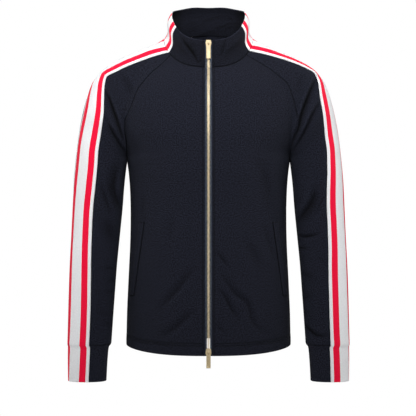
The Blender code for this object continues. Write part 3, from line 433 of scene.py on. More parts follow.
def yoke_row(at):
    """Body front, sleeve front, sleeve back and body back on one row above the underarm."""
    front, back = (
        np.array([smooth_value(RAGLAN, "at", f"{name}_{axis}", at) for axis in "xyz"])
        for name in ("front", "back")
    )
    ridge_x, ridge_z = (smooth_value(RAGLAN, "at", f"ridge_{axis}", at) for axis in "xz")
    ridge = np.array([ridge_x, at * ring_point(NECK_SEAM, 90.0)[1], ridge_z])
    turn = {name: smooth_value(SEAM_TURN, "at", name, at) for name in SEAM_TURN if name != "at"}
    front_z = UNDERARM_Z + at * (NECK_SEAM["front_z"] - UNDERARM_Z)
    back_z = UNDERARM_Z + at * (NECK_SEAM["back_z"] - UNDERARM_Z)
    front_edge = np.array([ZIP_SLIT / 2, smooth_value(FRONT_LINE, "z", "y", front_z), front_z])
    back_middle = np.array([0.0, smooth_value(BACK_LINE, "z", "y", back_z), back_z])
    across_front = np.linalg.norm(front - front_edge)
    across_back = np.linalg.norm(back - back_middle)
    body_in = heading(turn["body"], turn["body_rise"])
    sleeve_out = turn["seam_reach"] * heading(turn["sleeve"], turn["sleeve_rise"])
    sleeve_back_in = turn["seam_reach"] * heading(180 - turn["sleeve"], -turn["back_sleeve_fall"])
    body_back_out = heading(180 - turn["body"], turn["back_body_fall"])
    over_ridge = turn["ridge_reach"] * BACKWARD
    front_reach, back_reach = (wide - less * at for wide, less in (FRONT_HANDLE, BACK_HANDLE))
    front_handle = front_edge + front_reach * across_front * ACROSS
    back_handle = back_middle + back_reach * across_back * ACROSS
    before_seam = front - SEAM_HANDLES[0] * across_front * body_in
    behind_seam = back + SEAM_HANDLES[1] * across_back * body_back_out
    upper = [
        np.array([front_edge, front_handle, before_seam, front]),
        np.array([front, front + sleeve_out, ridge - over_ridge, ridge]),
        np.array([ridge, ridge + over_ridge, back - sleeve_back_in, back]),
        np.array([back, behind_seam, back_handle, back_middle]),
    ]
    body_front, body_back = body_controls(UNDERARM_Z)
    sleeve_front, sleeve_back = sleeve_top_controls()
    lower = [
        between_ends(cut_curve(body_front, front[1], True), front_edge, front),
        between_ends(cut_curve(sleeve_front, max(front[1], -SLEEVE_CUT), False), front, ridge),
        between_ends(cut_curve(sleeve_back, min(back[1], SLEEVE_CUT), True), ridge, back),
        between_ends(cut_curve(body_back, back[1], False), back, back_middle),
    ]
    share = float(np.clip(at / YOKE_FROM, 0.0, 1.0))
    share = share * share * (3 - 2 * share)
    return [bezier((1 - share) * near + share * far) for near, far in zip(lower, upper)]


def neck_row(ring):
    """The same four stretches on the neck seam or the collar's top edge."""
    zip_angle = math.degrees(math.asin(ZIP_SLIT / 2 / ring["half_width"]))
    stops = (zip_angle, RAGLAN_AT_NECK, 90.0, BACK_RAGLAN_AT_NECK, 180.0)
    return [
        np.array([ring_point(ring, a) for a in np.linspace(start, end, DENSE)])
        for start, end in zip(stops, stops[1:])
    ]


print("front edge at the neck", [round(float(v), 4) for v in neck_row(NECK_SEAM)[0][0]])

# %% [markdown]
# ## From a few rows to fine cloth
# The solids have rows some 20 mm apart. A shell that shows soft folds needs points every 3 mm,
# and closer still at its edges, where the cloth turns over into the seam. The rows between are
# filled in on curves that never overshoot, so the cuff's step stays crisp.

# %% Fine grids
STEP = 0.0031
SLEEVE_STEP = 0.0023
SEAM_STEPS = (0.0006, 0.0013, 0.0022, 0.0035)
ZIP_EDGE_STEPS = (0.0005, 0.0011, 0.0020, 0.0035, 0.0042, 0.0049, 0.0060)
HEM_STEPS = (
    0.0005, 0.0012, 0.0025, 0.0050, 0.0085, 0.0120, 0.0155, 0.0185, 0.0193, 0.0200, 0.0207,
    0.0215, 0.0235, 0.0248, 0.0255, 0.0262, 0.0270, 0.0290,
)


def spaced(length, count, near_start=SEAM_STEPS, near_end=SEAM_STEPS):
    """Distances over a length, close together near both ends."""
    inside = np.linspace(near_start[-1], length - near_end[-1], count)
    last = length - np.array(near_end[:-1])[::-1]
    return np.concatenate([[0.0], near_start[:-1], inside, last, [length]])


def steps_over(length, step=STEP):
    return max(4, int(round(length / step)))


def fill_rows(rows, wanted):
    """Rows at wanted distances, on curves through the given rows that don't overshoot."""
    rows = np.asarray(rows)
    gaps = np.linalg.norm(np.diff(rows, axis=0), axis=2).mean(axis=1)
    places = np.concatenate([[0.0], np.cumsum(gaps)])
    slant = np.diff(rows, axis=0) / gaps[:, None, None]
    slopes = np.empty_like(rows)
    slopes[0], slopes[-1] = slant[0], slant[-1]
    before, after = slant[:-1], slant[1:]
    near, far = gaps[:-1, None, None], gaps[1:, None, None]
    weight_near, weight_far = 2 * far + near, far + 2 * near
    with np.errstate(divide="ignore", invalid="ignore"):
        mean = (weight_near + weight_far) / (weight_near / before + weight_far / after)
    slopes[1:-1] = np.where(before * after > 0, np.nan_to_num(mean), 0.0)
    i = np.clip(np.searchsorted(places, wanted) - 1, 0, len(places) - 2)
    gap = gaps[i][:, None, None]
    t = ((wanted - places[i]) / gaps[i])[:, None, None]
    return hermite(t, gap, rows[i], rows[i + 1], slopes[i], slopes[i + 1])


def fine_grid(lines, start=SEAM_STEPS, bottom=SEAM_STEPS, across=None, step=STEP):
    """A grid of points from a few dense lines, low to high, each shared out from end to end."""
    count = steps_over(max(lengths_along(line)[-1] for line in lines), step)
    rows = []
    for line in lines:
        length = lengths_along(line)[-1]
        wanted = spaced(length, count, near_start=start) if across is None else across * length
        rows.append(points_at(line, wanted))
    tall = np.linalg.norm(np.diff(np.array(rows), axis=0), axis=2).mean(axis=1).sum()
    return fill_rows(rows, spaced(tall, steps_over(tall, step), near_start=bottom))


print("cloth points every", STEP, "m")


# %% The lines of each cut piece
def body_heights():
    hem_top = HEM_Z + HEM_TURN
    turned = [HEM_Z, HEM_Z + HEM_TURN / 2, hem_top, hem_top + 0.003]
    return np.concatenate([turned, np.linspace(-0.6, UNDERARM_Z, 13)])


YOKE_PLACES = np.linspace(0.0, 1.0, 14)[1:] ** 1.12


def seamed_row(at, word):
    """A row above the underarm, with the front raglan seam where it lies on that side."""
    if at == 1:
        return neck_row(NECK_SEAM)
    front, sleeve_front, sleeve_back, back = yoke_row(at)
    line = np.concatenate([front, sleeve_front[1:]])
    seam = lengths_along(front)[-1] + smooth_value(SEAM_MOVED, "at", word, at)
    stops = (0.0, seam, lengths_along(line)[-1])
    parts = [points_at(line, np.linspace(a, b, 2 * DENSE)) for a, b in zip(stops, stops[1:])]
    return (*parts, sleeve_back, back)


def body_lines(word):
    """The lines of a front and of half the back, from the hem to the neck seam."""
    rows = [body_row(z) for z in body_heights()]
    for at in YOKE_PLACES:
        front, _, _, back = seamed_row(at, word)
        rows.append((front, back))
    return [front for front, _ in rows], [back for _, back in rows]


def around_tape(front, back, tape_front):
    """A sleeve line cut at the tape's two edges: before it, under it and after it."""
    line = np.concatenate([front, back[1:]])
    start = lengths_along(front)[-1] - tape_front
    total = lengths_along(line)[-1]
    stops = (0.0, start, start + TAPE_WIDTH, total)
    return [points_at(line, np.linspace(a, b, DENSE)) for a, b in zip(stops, stops[1:])]


def sleeve_lines(word):
    """Three lists of lines, before, under and after the tape, for the cuff and for the sleeve."""
    def taped(table, z):
        return around_tape(*sleeve_ring(table, z), smooth_value(TAPE_DOWN, "z", word, z))

    cuff = [taped(CUFF, z) for z in np.linspace(CUFF_END_Z, CUFF_TOP_Z - 0.005, 4)]
    sleeve = [taped(SLEEVE, z) for z in np.linspace(CUFF_TOP_Z, SLEEVE_TOP_Z, 21)[:-1]]
    for at in (0.0, *YOKE_PLACES):
        _, front, back, _ = seamed_row(at, word)
        sleeve.append(around_tape(front, back, smooth_value(TAPE_OVER, "at", word, at)))
    return cuff, sleeve


COLLAR_SQUARE = 0.0034  # the back of the collar's top edge runs flatter than an oval
COLLAR_SWELL = 0.0036  # it bows in above its seam and out below its edge
FLAT_AT_ZIP = 0.05  # but stays straight beside the zip


def collar_lines(word):
    """Lines of the collar before, under and after the tape, from its seam to its top edge."""
    edges = []
    at_seam, at_top = TAPE_OVER[word][-1], TAPE_AT_COLLAR_TOP[word]
    for ring, tape_front in ((NECK_SEAM, at_seam), (COLLAR_TOP, at_top)):
        front, sleeve_front, sleeve_back, back = neck_row(ring)
        before, under, after = around_tape(sleeve_front, sleeve_back, tape_front)
        stretches = (np.concatenate([front, before[1:]]), under, np.concatenate([after, back[1:]]))
        edges.append([points_at(s, np.linspace(0, lengths_along(s)[-1], DENSE)) for s in stretches])
    for top in edges[1]:
        behind = np.clip(top[:, 1] / 0.03, 0.0, 1.0)
        reach = np.clip(np.abs(top[:, 0]) / COLLAR_TOP["half_width"], 0.0, 1.0)
        top[:, 2] += COLLAR_SQUARE * behind * np.sin(np.pi * reach) ** 2
    lines = [[], [], []]
    for up in np.linspace(0.0, 1.0, 9):
        for found, seam, top in zip(lines, *edges):
            outward = seam * [1, 1, 0] - [0, (NECK_SEAM["front"] + NECK_SEAM["back"]) / 2, 0]
            outward /= np.linalg.norm(outward, axis=1)[:, None]
            beside_zip = np.clip((seam[:, [0]] - ZIP_SLIT / 2) / FLAT_AT_ZIP, 0.0, 1.0)
            outward *= np.where(seam[:, [1]] < 0, beside_zip, 1.0)
            swell = -COLLAR_SWELL * math.sin(2 * math.pi * up)
            found.append((1 - up) * seam + up * top + swell * outward)
    return lines


print("rows on the body", len(body_lines("left")[0]))

# %% [markdown]
# ## Creases
# A filled-out jacket is smooth on the chest and creased where the arm turns: long sharp folds
# run from the shoulder to the underarm, and shallow ones cross the elbow and gather over the
# cuff. Each crease here is a line of three to eight points in the front view, or in the back
# view for the hidden side, with a depth, a width, a soft ridge beside it and a painted shadow in
# it. Pressing the points straight back keeps neighbouring pieces together, because both are moved
# by the same amount. The painted shadows are kept with the points, and the knit's colour is
# darkened by them and by how deep each place is pressed in.

# %% Creases, as x and z in the front view
MM = 0.001
FRONT_CREASES = (
    # points along it, depth and width in millimetres, ridge beside it (+ outwards,
    # - towards the zip), painted shadow in it
    # right sleeve, from the shoulder down
    (((-225, -110), (-213, -134), (-204, -159), (-196, -182), (-190, -202), (-183, -227)),
     5.2, 6.2, 1, 0.9),
    (((-218, -180), (-213, -191), (-206, -206), (-198, -221), (-189, -237), (-179, -251)),
     4.2, 6.8, 1, 0.5),
    (((-188, -80), (-175, -101), (-166, -119), (-161, -134)), 2, 8, 0, 0),
    (((-196, -273), (-204, -303), (-206, -329), (-200, -351), (-188, -379)), 5, 12, 1, 0.35),
    (((-233, -316), (-223, -346), (-217, -366), (-209, -385)), 3, 6.5, 1, 0.25),
    (((-225, -394), (-212, -422), (-202, -448)), 3, 15, 0, 0),
    (((-225, -497), (-212, -500), (-199, -501)), 1.6, 6, 0, 0.12),
    (((-218, -525), (-207, -528), (-196, -529)), 1.6, 5.5, 0, 0.15),
    (((-220, -545), (-207, -551), (-198, -552)), 1.6, 5.5, 0, 0.15),
    (((-225, -609), (-213, -620), (-202, -624)), 1.6, 6, 0, 0.15),
    (((-234, -588), (-221, -597), (-208, -597)), 1.2, 7, 0, 0),
    # left sleeve, from the shoulder down
    (((236, -82), (223, -107), (212, -134), (204, -156), (198, -175), (194, -195), (188, -210),
      (183, -231)), 6.2, 6.6, 1, 1),
    (((242, -135), (233, -150), (220, -175), (208, -201), (198, -222), (183, -245)),
     4.4, 6, 1, 0.6),
    (((203, -76), (195, -97), (189, -121)), 1, 8, 0, 0),
    (((231, -327), (225, -351), (217, -368), (206, -383), (193, -403)), 5.2, 13, 1, 0.45),
    (((253, -336), (249, -346), (243, -358), (235, -373), (230, -385)), 1.4, 5, 1, 0.25),
    (((193, -429), (201, -430), (212, -430), (224, -428), (238, -424)), 2.6, 4.8, 0, 0.75),
    (((188, -454), (199, -455), (212, -455)), 2.2, 4.8, 0, 0.7),
    (((235, -469), (246, -484), (253, -499)), 1, 8, 0, 0),
    (((199, -506), (212, -516), (227, -521)), 1.8, 9, 0, 0),
    (((196, -561), (209, -562), (222, -557)), 1.8, 8, 0, 0),
    (((203, -608), (209, -620), (218, -630), (226, -637), (235, -641), (245, -642), (253, -639)),
     3, 5, 0, 0.8),
    # left front
    (((12, -456), (20, -465), (31, -479), (43, -494)), 2.2, 6, 1, 0.3),
    (((24, -501), (39, -526), (60, -552), (78, -565), (86, -582), (91, -604), (105, -622),
      (120, -631)), 2.8, 8.5, 1, 0.16),
    (((22, -537), (36, -558), (47, -579), (64, -601)), 2.8, 6.5, 1, 0.3),
    (((9, -602), (21, -618), (34, -631)), 1.8, 6, 1, 0.18),
    (((79, -438), (96, -465), (113, -494)), 1.6, 10, 0, 0),
    (((102, -258), (117, -292), (125, -330), (130, -379)), 1.6, 11, 0, 0),
    (((115, -402), (126, -436), (143, -482)), 1.4, 7, 1, 0),
    # right front
    (((-28, -497), (-45, -513), (-58, -531), (-76, -552), (-106, -585)), 2.6, 10, 1, 0.06),
    (((-28, -581), (-51, -603), (-75, -624), (-104, -642)), 2.6, 10, 1, 0.08),
    (((-77, -385), (-81, -414), (-85, -435)), 1, 10, 0, 0),
    (((-137, -334), (-140, -364), (-141, -391)), 1.2, 7, 0, 0),
    # collar fronts
    (((-59, -1), (-50, -15), (-41, -27), (-33, -38), (-27, -49), (-21, -60)), 3.4, 8, -1, 0.95),
    (((-23, -45), (-17, -48), (-10, -47)), 1.2, 4, 0, 0.5),
    (((-26, -57), (-19, -56), (-13, -54)), 1.4, 4, 0, 0.65),
    (((-42, -18), (-29, -20), (-16, -25)), 1, 4.2, 0, 0.18),
    (((37, -5), (34, -19), (31, -31), (28, -40), (17, -50)), 1.6, 4.4, -1, 0.42),
    (((74, -4), (59, -21), (46, -33), (34, -47)), 1.6, 6, 1, 0.14),
)
BACK_CREASES = (
    # inside of the collar at the back
    (((-44, 17), (-26, 22), (-10, 26), (7, 31), (23, 24)), 1, 4, 0, 0.4),
    (((-1, 36), (17, 38), (33, 41), (51, 47), (74, 42)), 1.2, 4, 0, 0.5),
    (((28, 32), (46, 37), (60, 37), (73, 34)), 1, 3.6, 0, 0.4),
    (((-21, 51), (-6, 55), (10, 61), (28, 65), (46, 62)), 1, 4.6, 0, 0.3),
    (((-53, 44), (-39, 48), (-26, 51)), 0.9, 4.4, 0, 0.25),
    (((44, 66), (54, 56), (67, 47)), 1, 4.4, 0, 0.35),
    (((-58, 32), (-42, 35), (-21, 43), (-6, 47)), 0.8, 4.4, 0, 0.2),
    # back of the sleeves and the body
    (((-226, -92), (-204, -146), (-186, -205), (-180, -260)), 5.2, 9, 1, 0.6),
    (((-222, -160), (-202, -214), (-184, -252)), 3.4, 8, 1, 0.35),
    (((-206, -350), (-228, -386), (-256, -398)), 4, 11, 0, 0.35),
    (((-200, -396), (-232, -424), (-268, -424)), 3.4, 10, 0, 0.35),
    (((-214, -452), (-240, -470), (-274, -460)), 2.2, 11, 0, 0.1),
    (((-222, -622), (-246, -636), (-276, -632)), 2, 8, 0, 0.1),
    (((229, -96), (207, -142), (187, -208), (180, -260)), 4.8, 8.5, 1, 0.6),
    (((231, -150), (206, -210), (185, -250)), 3.6, 7.5, 1, 0.35),
    (((203, -356), (226, -380), (258, -386)), 3.6, 11, 0, 0.35),
    (((199, -408), (230, -418), (266, -436)), 3.6, 10, 0, 0.35),
    (((212, -462), (240, -466), (270, -478)), 2, 11, 0, 0.1),
    (((222, -626), (246, -634), (278, -638)), 2.2, 8, 0, 0.1),
    (((-120, -150), (-70, -176), (-20, -178)), 1.2, 18, 0, 0),
    (((132, -170), (80, -196), (26, -194)), 1.4, 17, 0, 0),
    (((-150, -300), (-110, -346), (-82, -400)), 2.2, 15, 1, 0),
    (((154, -310), (118, -350), (90, -418)), 2.2, 15, 1, 0),
    (((-96, -440), (-30, -462), (52, -450)), 1.8, 15, 0, 0),
    (((104, -482), (44, -506), (-34, -500)), 1.6, 15, 0, 0),
    (((-138, -500), (-112, -560), (-106, -630)), 1.6, 17, 1, 0),
    (((136, -520), (116, -580), (112, -640)), 1.8, 17, 1, 0),
)


# a crease's section, in shares of its width and depth
REACH, CORE_WIDE, CORE_DEEP = 3.5, 0.36, 0.4  # how far it acts, and the sharp line at its bottom
RIDGED_WIDTH = 0.55  # it is steeper on the ridge's side
RIDGE_AWAY, RIDGE_WIDE = 1.9, 0.8
RIDGE_HIGH, OTHER_RIDGE, EVEN_RIDGE = 0.40, 0.12, 0.2
SHADOW_HALF, SHADOW_FADE = 2.2, 0.004


def crease_line(points, count=40):
    """A smooth line through a crease's points."""
    points = MM * np.array(points)
    along = lengths_along(points)
    at = np.linspace(0.0, along[-1], count)
    slopes = np.gradient(points, along, axis=0)
    i = np.clip(np.searchsorted(along, at) - 1, 0, len(along) - 2)
    gap = (along[i + 1] - along[i])[:, None]
    t = (at - along[i])[:, None] / gap
    return hermite(t, gap, points[i], points[i + 1], slopes[i], slopes[i + 1])


def pressed_in(flat, creases):
    """How far creases press each point in, its distance from the nearest line, and its painted
    shadow.
    """
    total, far, shadow = np.zeros(len(flat)), np.full(len(flat), 0.01), np.zeros(len(flat))
    for points, depth, width, ridge, dark in creases:
        depth, width, line = MM * depth, MM * width, crease_line(points)
        reach = REACH * width
        near = np.all((flat > line.min(0) - reach) & (flat < line.max(0) + reach), axis=1)
        if not near.any():
            continue
        offset = flat[near, None, :] - line[None]
        distance = np.linalg.norm(offset, axis=2)
        nearest = distance.argmin(axis=1)
        away = distance[np.arange(len(nearest)), nearest]
        run = np.gradient(line, axis=0)[nearest]
        run /= np.linalg.norm(run, axis=1)[:, None]
        to_it = offset[np.arange(len(nearest)), nearest]
        side = np.sign(run[:, 0] * to_it[:, 1] - run[:, 1] * to_it[:, 0])
        outward = side * np.sign(points[0][0]) * (-1 if points[0][1] > points[-1][1] else 1)
        ridged = outward * ridge > 0
        taper = np.sin(np.pi * np.clip(nearest / (len(line) - 1), 0.03, 0.97)) ** 0.7
        steep = width * np.where(ridged, RIDGED_WIDTH, 1.0)
        core = CORE_DEEP * np.exp(-((away / (CORE_WIDE * width)) ** 2))
        trough = np.exp(-((away / steep) ** 2)) + core
        beside = np.exp(-(((away - RIDGE_AWAY * steep) / (RIDGE_WIDE * steep)) ** 2))
        swell = np.where(ridged, RIDGE_HIGH, OTHER_RIDGE if ridge else EVEN_RIDGE) * beside
        total[near] += depth * taper * (trough - swell)
        # painted shadow along the crease's line
        mine = dark * taper * np.clip(SHADOW_HALF - away / SHADOW_FADE, 0.0, 1.0)
        closer = mine > shadow[near]
        far[near] = np.where(closer, away * side, far[near])
        shadow[near] = np.maximum(mine, shadow[near])
    return total, far, shadow


print(len(FRONT_CREASES), "creases in front,", len(BACK_CREASES), "behind")


# %% Pressing the creases into a piece
FULL_HOLLOW = 0.0055  # a place pressed in this far gets the full painted shade
SIDE_FADE, ZIP_FADE = 0.018, 0.022  # creases fade out towards the sides and towards the zip
SLEEVE_FROM, ARM_FROM = (0.186, 0.02), (-0.22, 0.06)  # where the sleeves' own middle counts


def middle_depth(points):
    """The depth, front to back, of the middle of the sleeve or body at each point."""
    x, z = np.abs(points[:, 0]), points[:, 2]
    sleeve = np.interp(z, SLEEVE["z"][::-1], SLEEVE["middle_y"][::-1])
    out = np.clip((x - SLEEVE_FROM[0]) / SLEEVE_FROM[1], 0.0, 1.0)
    down = np.clip((ARM_FROM[0] - z) / ARM_FROM[1], 0.0, 1.0)
    return sleeve * (out * down)


def crease(points):
    """Moves points straight back, or forward on the hidden side, where a crease passes.

    Also gives each point's distance from the nearest crease's line, the line's painted shadow
    there, and how hollow the place is, which sets its painted shade.
    """
    flat = points[:, [0, 2]]
    from_middle = points[:, 1] - middle_depth(points)
    facing_front = np.clip(-from_middle / SIDE_FADE, 0.0, 1.0)
    facing_back = np.clip(from_middle / SIDE_FADE, 0.0, 1.0)
    beside_zip = np.clip((np.abs(points[:, 0]) - 0.5 * ZIP_SLIT) / ZIP_FADE, 0.0, 1.0)
    beside_zip = beside_zip**2 * (3 - 2 * beside_zip)
    moved = points.copy()
    in_front, far, shadow = pressed_in(flat, FRONT_CREASES)
    behind, far_behind, shadow_behind = pressed_in(flat, BACK_CREASES)
    in_front *= facing_front * beside_zip
    behind *= facing_back
    moved[:, 1] += in_front - behind
    front = points[:, 1] < middle_depth(points)
    far, shadow = np.where(front, far, far_behind), np.where(front, shadow, shadow_behind)
    shadow *= np.maximum(facing_front, facing_back)
    return moved, np.stack([far, shadow, (in_front + behind) / FULL_HOLLOW], axis=1)


deepest = pressed_in(np.array([[0.2, -0.171]]), FRONT_CREASES)[0][0]
print("the left sleeve's main crease is", round(1000 * deepest, 1), "mm deep")

# %% [markdown]
# ## From a surface to cloth
# Cloth has two faces and an edge. Each grid of points gets an inner face one cloth thickness
# behind it, and a rim that closes them. At a seam the outer face turns in, as cloth does where
# it is sewn to its neighbour, and at a folded edge, such as the collar's top, both faces round
# off towards each other. The knit follows the cut piece, so each point's distances across and
# along the piece are kept as its UV map, in metres.

# %% Shell of one cut piece
SEAM_SET_BACK = 0.00008
VALLEY_DEPTH, VALLEY_WIDTH = 0.0009, 0.0017
MOST_TURNED = 0.97  # a folded edge stops just short of a quarter turn
EDGES = {
    # edge: its own row or column of points, and the next one inwards
    "start": (np.s_[:, 0], np.s_[:, 1]),
    "end": (np.s_[:, -1], np.s_[:, -2]),
    "bottom": (np.s_[0], np.s_[1]),
    "top": (np.s_[-1], np.s_[-2]),
}


def grid_normals(grid, side):
    normals = np.cross(np.gradient(grid, axis=1), np.gradient(grid, axis=0)) * side
    return normals / np.maximum(np.linalg.norm(normals, axis=2), 1e-12)[:, :, None]


def edge_distances(grid):
    """Distance of each point from the piece's start, end, bottom and top edges."""
    across = np.linalg.norm(np.diff(grid, axis=1), axis=2)
    up = np.linalg.norm(np.diff(grid, axis=0), axis=2)
    start = np.concatenate([np.zeros((len(grid), 1)), np.cumsum(across, axis=1)], axis=1)
    bottom = np.concatenate([np.zeros((1, grid.shape[1])), np.cumsum(up, axis=0)], axis=0)
    end, top = start[:, -1:] - start, bottom[-1:] - bottom
    return {"start": start, "end": end, "bottom": bottom, "top": top}


def rounded(distance, radius):
    """How far a folded edge of this radius has turned in at a distance from the edge."""
    left = np.clip(1 - distance / radius, 0.0, MOST_TURNED)
    return radius * (1 - np.sqrt(1 - left**2))


def shell_of(grid, side, thickness, edges):
    """Outer and inner grids of a piece, each of whose edges is a seam or a fold."""
    away = edge_distances(grid)
    for name, kind in edges.items():
        if kind == "seam":
            at, beside = EDGES[name]
            inward = grid[beside] - grid[at]
            length = np.linalg.norm(inward, axis=1)[:, None]
            grid[at] += SEAM_SET_BACK * inward / np.maximum(length, 1e-9)
    normals = grid_normals(grid, side)
    thickness = np.broadcast_to(thickness, grid.shape[:2])
    valley, turned = np.zeros(grid.shape[:2]), np.zeros(grid.shape[:2])
    for name, kind in edges.items():
        if kind == "seam":
            valley = np.maximum(valley, VALLEY_DEPTH * np.exp(-((away[name] / VALLEY_WIDTH) ** 2)))
        else:
            turned = np.maximum(turned, rounded(away[name], 0.5 * thickness))
    outer = grid - (valley + turned)[:, :, None] * normals
    inner = grid - (thickness - turned)[:, :, None] * normals
    return outer, inner, normals, away


INSIDE_FINISH = 2  # a tape's own inside is plain navy, as its third finish


def new_piece(name, points, faces):
    """A new piece of the scene from points and faces, shaded smooth."""
    mesh = bpy.data.meshes.new(name)
    mesh.from_pydata(points.tolist(), [], faces)
    mesh.polygons.foreach_set("use_smooth", np.ones(len(faces), bool))
    mesh.update()
    piece = bpy.data.objects.new(name, mesh)
    bpy.context.scene.collection.objects.link(piece)
    return piece


def cloth_mesh(name, outer, inner, cut, side, folds, bands=None):
    """One closed mesh from the outer and inner grids, with the cut's own distances as UVs."""
    rows, columns = outer.shape[:2]
    count = rows * columns
    i = np.arange(count).reshape(rows, columns)
    quads = np.stack([i[:-1, :-1], i[:-1, 1:], i[1:, 1:], i[1:, :-1]], axis=-1).reshape(-1, 4)
    border = np.concatenate([i[0, :-1], i[:-1, -1], i[-1, :0:-1], i[:0:-1, 0]])
    ahead = np.roll(border, -1)
    rim = np.stack([ahead, border, border + count, ahead + count], axis=-1)
    inside = quads[:, ::-1] + count
    if side < 0:
        quads, inside, rim = quads[:, ::-1], inside[:, ::-1], rim[:, ::-1]
    faces = np.concatenate([quads, inside, rim])
    points = np.concatenate([outer.reshape(-1, 3), inner.reshape(-1, 3)])
    piece = new_piece(name, points, faces.tolist())
    mesh = piece.data
    layer = mesh.uv_layers.new(name="cut")
    corners = np.empty(len(mesh.loops), np.int32)
    mesh.loops.foreach_get("vertex_index", corners)
    uv = np.concatenate([cut.reshape(-1, 2), cut.reshape(-1, 2)])
    layer.data.foreach_set("uv", uv[corners].ravel())
    if bands is not None:
        outside, around = np.tile(bands, rows - 1), np.zeros(len(rim), int)
        finishes = np.concatenate([outside, np.full(len(outside), INSIDE_FINISH), around])
        mesh.polygons.foreach_set("material_index", finishes.astype(np.int32))
    # each point's fold line, painted shadow and painted shade, read by the knit's finish
    kept = mesh.attributes.new("folds", "FLOAT_VECTOR", "POINT")
    kept.data.foreach_set("vector", folds.astype(np.float32).ravel())
    return piece


print("cloth shells from grids, with UVs in metres")

# %% [markdown]
# ## Knit, tape, thread and metal
# The jacket's cloth is a loop-back sweatshirt knit: a plain jersey face with columns of small V
# stitches, brushed by wear into a faint haze. Its finish is a Principled shader with a very dark
# navy, a little sheen, a jersey relief of about 1 mm read from the cut's UV map, and a fleck in
# the colour a few stitches wide. An Attribute node reads each fold's line, painted shadow and
# painted shade in its hollow from the points, which darken the colour; at the collar's top edge
# a painted highlight lightens it. The shared helpers below keep each finish a short recipe.

# %% Node helpers
def new_finish(name, colour, roughness, metallic=0.0, sheen=0.0):
    finish = bpy.data.materials.new(name)
    finish.use_nodes = True
    shader = finish.node_tree.nodes["Principled BSDF"]
    shader.inputs["Base Color"].default_value = (*colour, 1.0)
    shader.inputs["Roughness"].default_value = roughness
    shader.inputs["Metallic"].default_value = metallic
    shader.inputs["Sheen Weight"].default_value = sheen
    shader.inputs["Sheen Roughness"].default_value = 0.5
    shader.inputs["Specular IOR Level"].default_value = 0.5 if metallic else 0.12
    return finish, finish.node_tree, shader


def maths(tree, kind, first, second=None):
    """A Math node on sockets or numbers, and its result."""
    node = tree.nodes.new("ShaderNodeMath")
    node.operation = kind
    for socket, value in zip(node.inputs, (first, second)):
        if isinstance(value, bpy.types.NodeSocket):
            tree.links.new(value, socket)
        elif value is not None:
            socket.default_value = value
    return node.outputs[0]


def times(tree, first, second):
    return maths(tree, "MULTIPLY", first, second)


def plus(tree, first, second):
    return maths(tree, "ADD", first, second)


def wave(tree, turns, kind="SINE"):
    """A wave that rises and falls once in each whole turn."""
    return maths(tree, kind, times(tree, turns, 2 * math.pi))


def cut_places(tree):
    """Distances across and along the cut piece, in metres."""
    where = tree.nodes.new("ShaderNodeUVMap")
    where.uv_map = "cut"
    split = tree.nodes.new("ShaderNodeSeparateXYZ")
    tree.links.new(where.outputs[0], split.inputs[0])
    return split.outputs[0], split.outputs[1], where.outputs[0]


def noise(tree, vector, scale, detail=3.0, roughness=0.6):
    node = tree.nodes.new("ShaderNodeTexNoise")
    node.inputs["Scale"].default_value = scale
    node.inputs["Detail"].default_value = detail
    node.inputs["Roughness"].default_value = roughness
    tree.links.new(vector, node.inputs["Vector"])
    return node.outputs["Fac"]


def tinted(tree, fac, dark, light, low=0.35, high=0.65):
    """A colour that runs from dark to light with a pattern."""
    ramp = tree.nodes.new("ShaderNodeValToRGB")
    ramp.color_ramp.elements[0].position = low
    ramp.color_ramp.elements[0].color = (*dark, 1.0)
    ramp.color_ramp.elements[1].position = high
    ramp.color_ramp.elements[1].color = (*light, 1.0)
    tree.links.new(fac, ramp.inputs[0])
    return ramp.outputs["Color"]


def relief(tree, shader, height, distance, strength=1.0, under=None):
    """A bump from a height pattern, on top of another bump if one is given."""
    bump = tree.nodes.new("ShaderNodeBump")
    bump.inputs["Strength"].default_value = strength
    bump.inputs["Distance"].default_value = distance
    tree.links.new(height, bump.inputs["Height"])
    if under is not None:
        tree.links.new(under, bump.inputs["Normal"])
    tree.links.new(bump.outputs[0], shader.inputs["Normal"])
    return bump.outputs[0]


def object_places(tree):
    return tree.nodes.new("ShaderNodeTexCoord").outputs["Object"]


print("node helpers ready")


# %% Jersey relief: columns of small V stitches
WALE, COURSE = 0.00105, 0.00085
LEG_SLANT = 1.3  # how much of a course a V's arms climb


def jersey(tree):
    """Height of a jersey face: each column of stitches is a row of Vs with a groove beside it."""
    across, along, _ = cut_places(tree)
    turn = maths(tree, "FRACT", maths(tree, "DIVIDE", across, WALE))
    from_middle = maths(tree, "ABSOLUTE", maths(tree, "SUBTRACT", turn, 0.5))
    step = plus(tree, maths(tree, "DIVIDE", along, COURSE), times(tree, from_middle, LEG_SLANT))
    legs, column = wave(tree, step), wave(tree, from_middle, "COSINE")
    return plus(tree, times(tree, legs, 0.35), times(tree, column, 0.3))


LINE_WIDTH, LINE_WIDENS = 0.0009, 0.0014  # a faint line's width, and what a full shadow adds
# painted shade: how much a fold's line and a full hollow darken the knit's colour
LINE_DARK, HOLLOW_DARK = 0.92, 0.55
LINE_DEPTH = 0.0008


def fold_lines(tree):
    """How much colour each fold's painted shadow line and painted hollow shade keep, and the relief
    of the line, in metres.
    """
    folds = tree.nodes.new("ShaderNodeAttribute")
    folds.attribute_name = "folds"
    split = tree.nodes.new("ShaderNodeSeparateXYZ")
    tree.links.new(folds.outputs["Vector"], split.inputs[0])
    far, shadow, hollow = split.outputs
    width = plus(tree, times(tree, shadow, LINE_WIDENS), LINE_WIDTH)
    share = maths(tree, "DIVIDE", far, width)
    line = maths(tree, "EXPONENT", times(tree, times(tree, share, share), -1.0))
    line = times(tree, line, shadow)
    beside_line = maths(tree, "SUBTRACT", 1.0, times(tree, line, LINE_DARK))
    dip = times(tree, maths(tree, "MINIMUM", hollow, 1.0), HOLLOW_DARK)
    kept = times(tree, beside_line, maths(tree, "SUBTRACT", 1.0, dip))
    return kept, times(tree, line, -LINE_DEPTH)


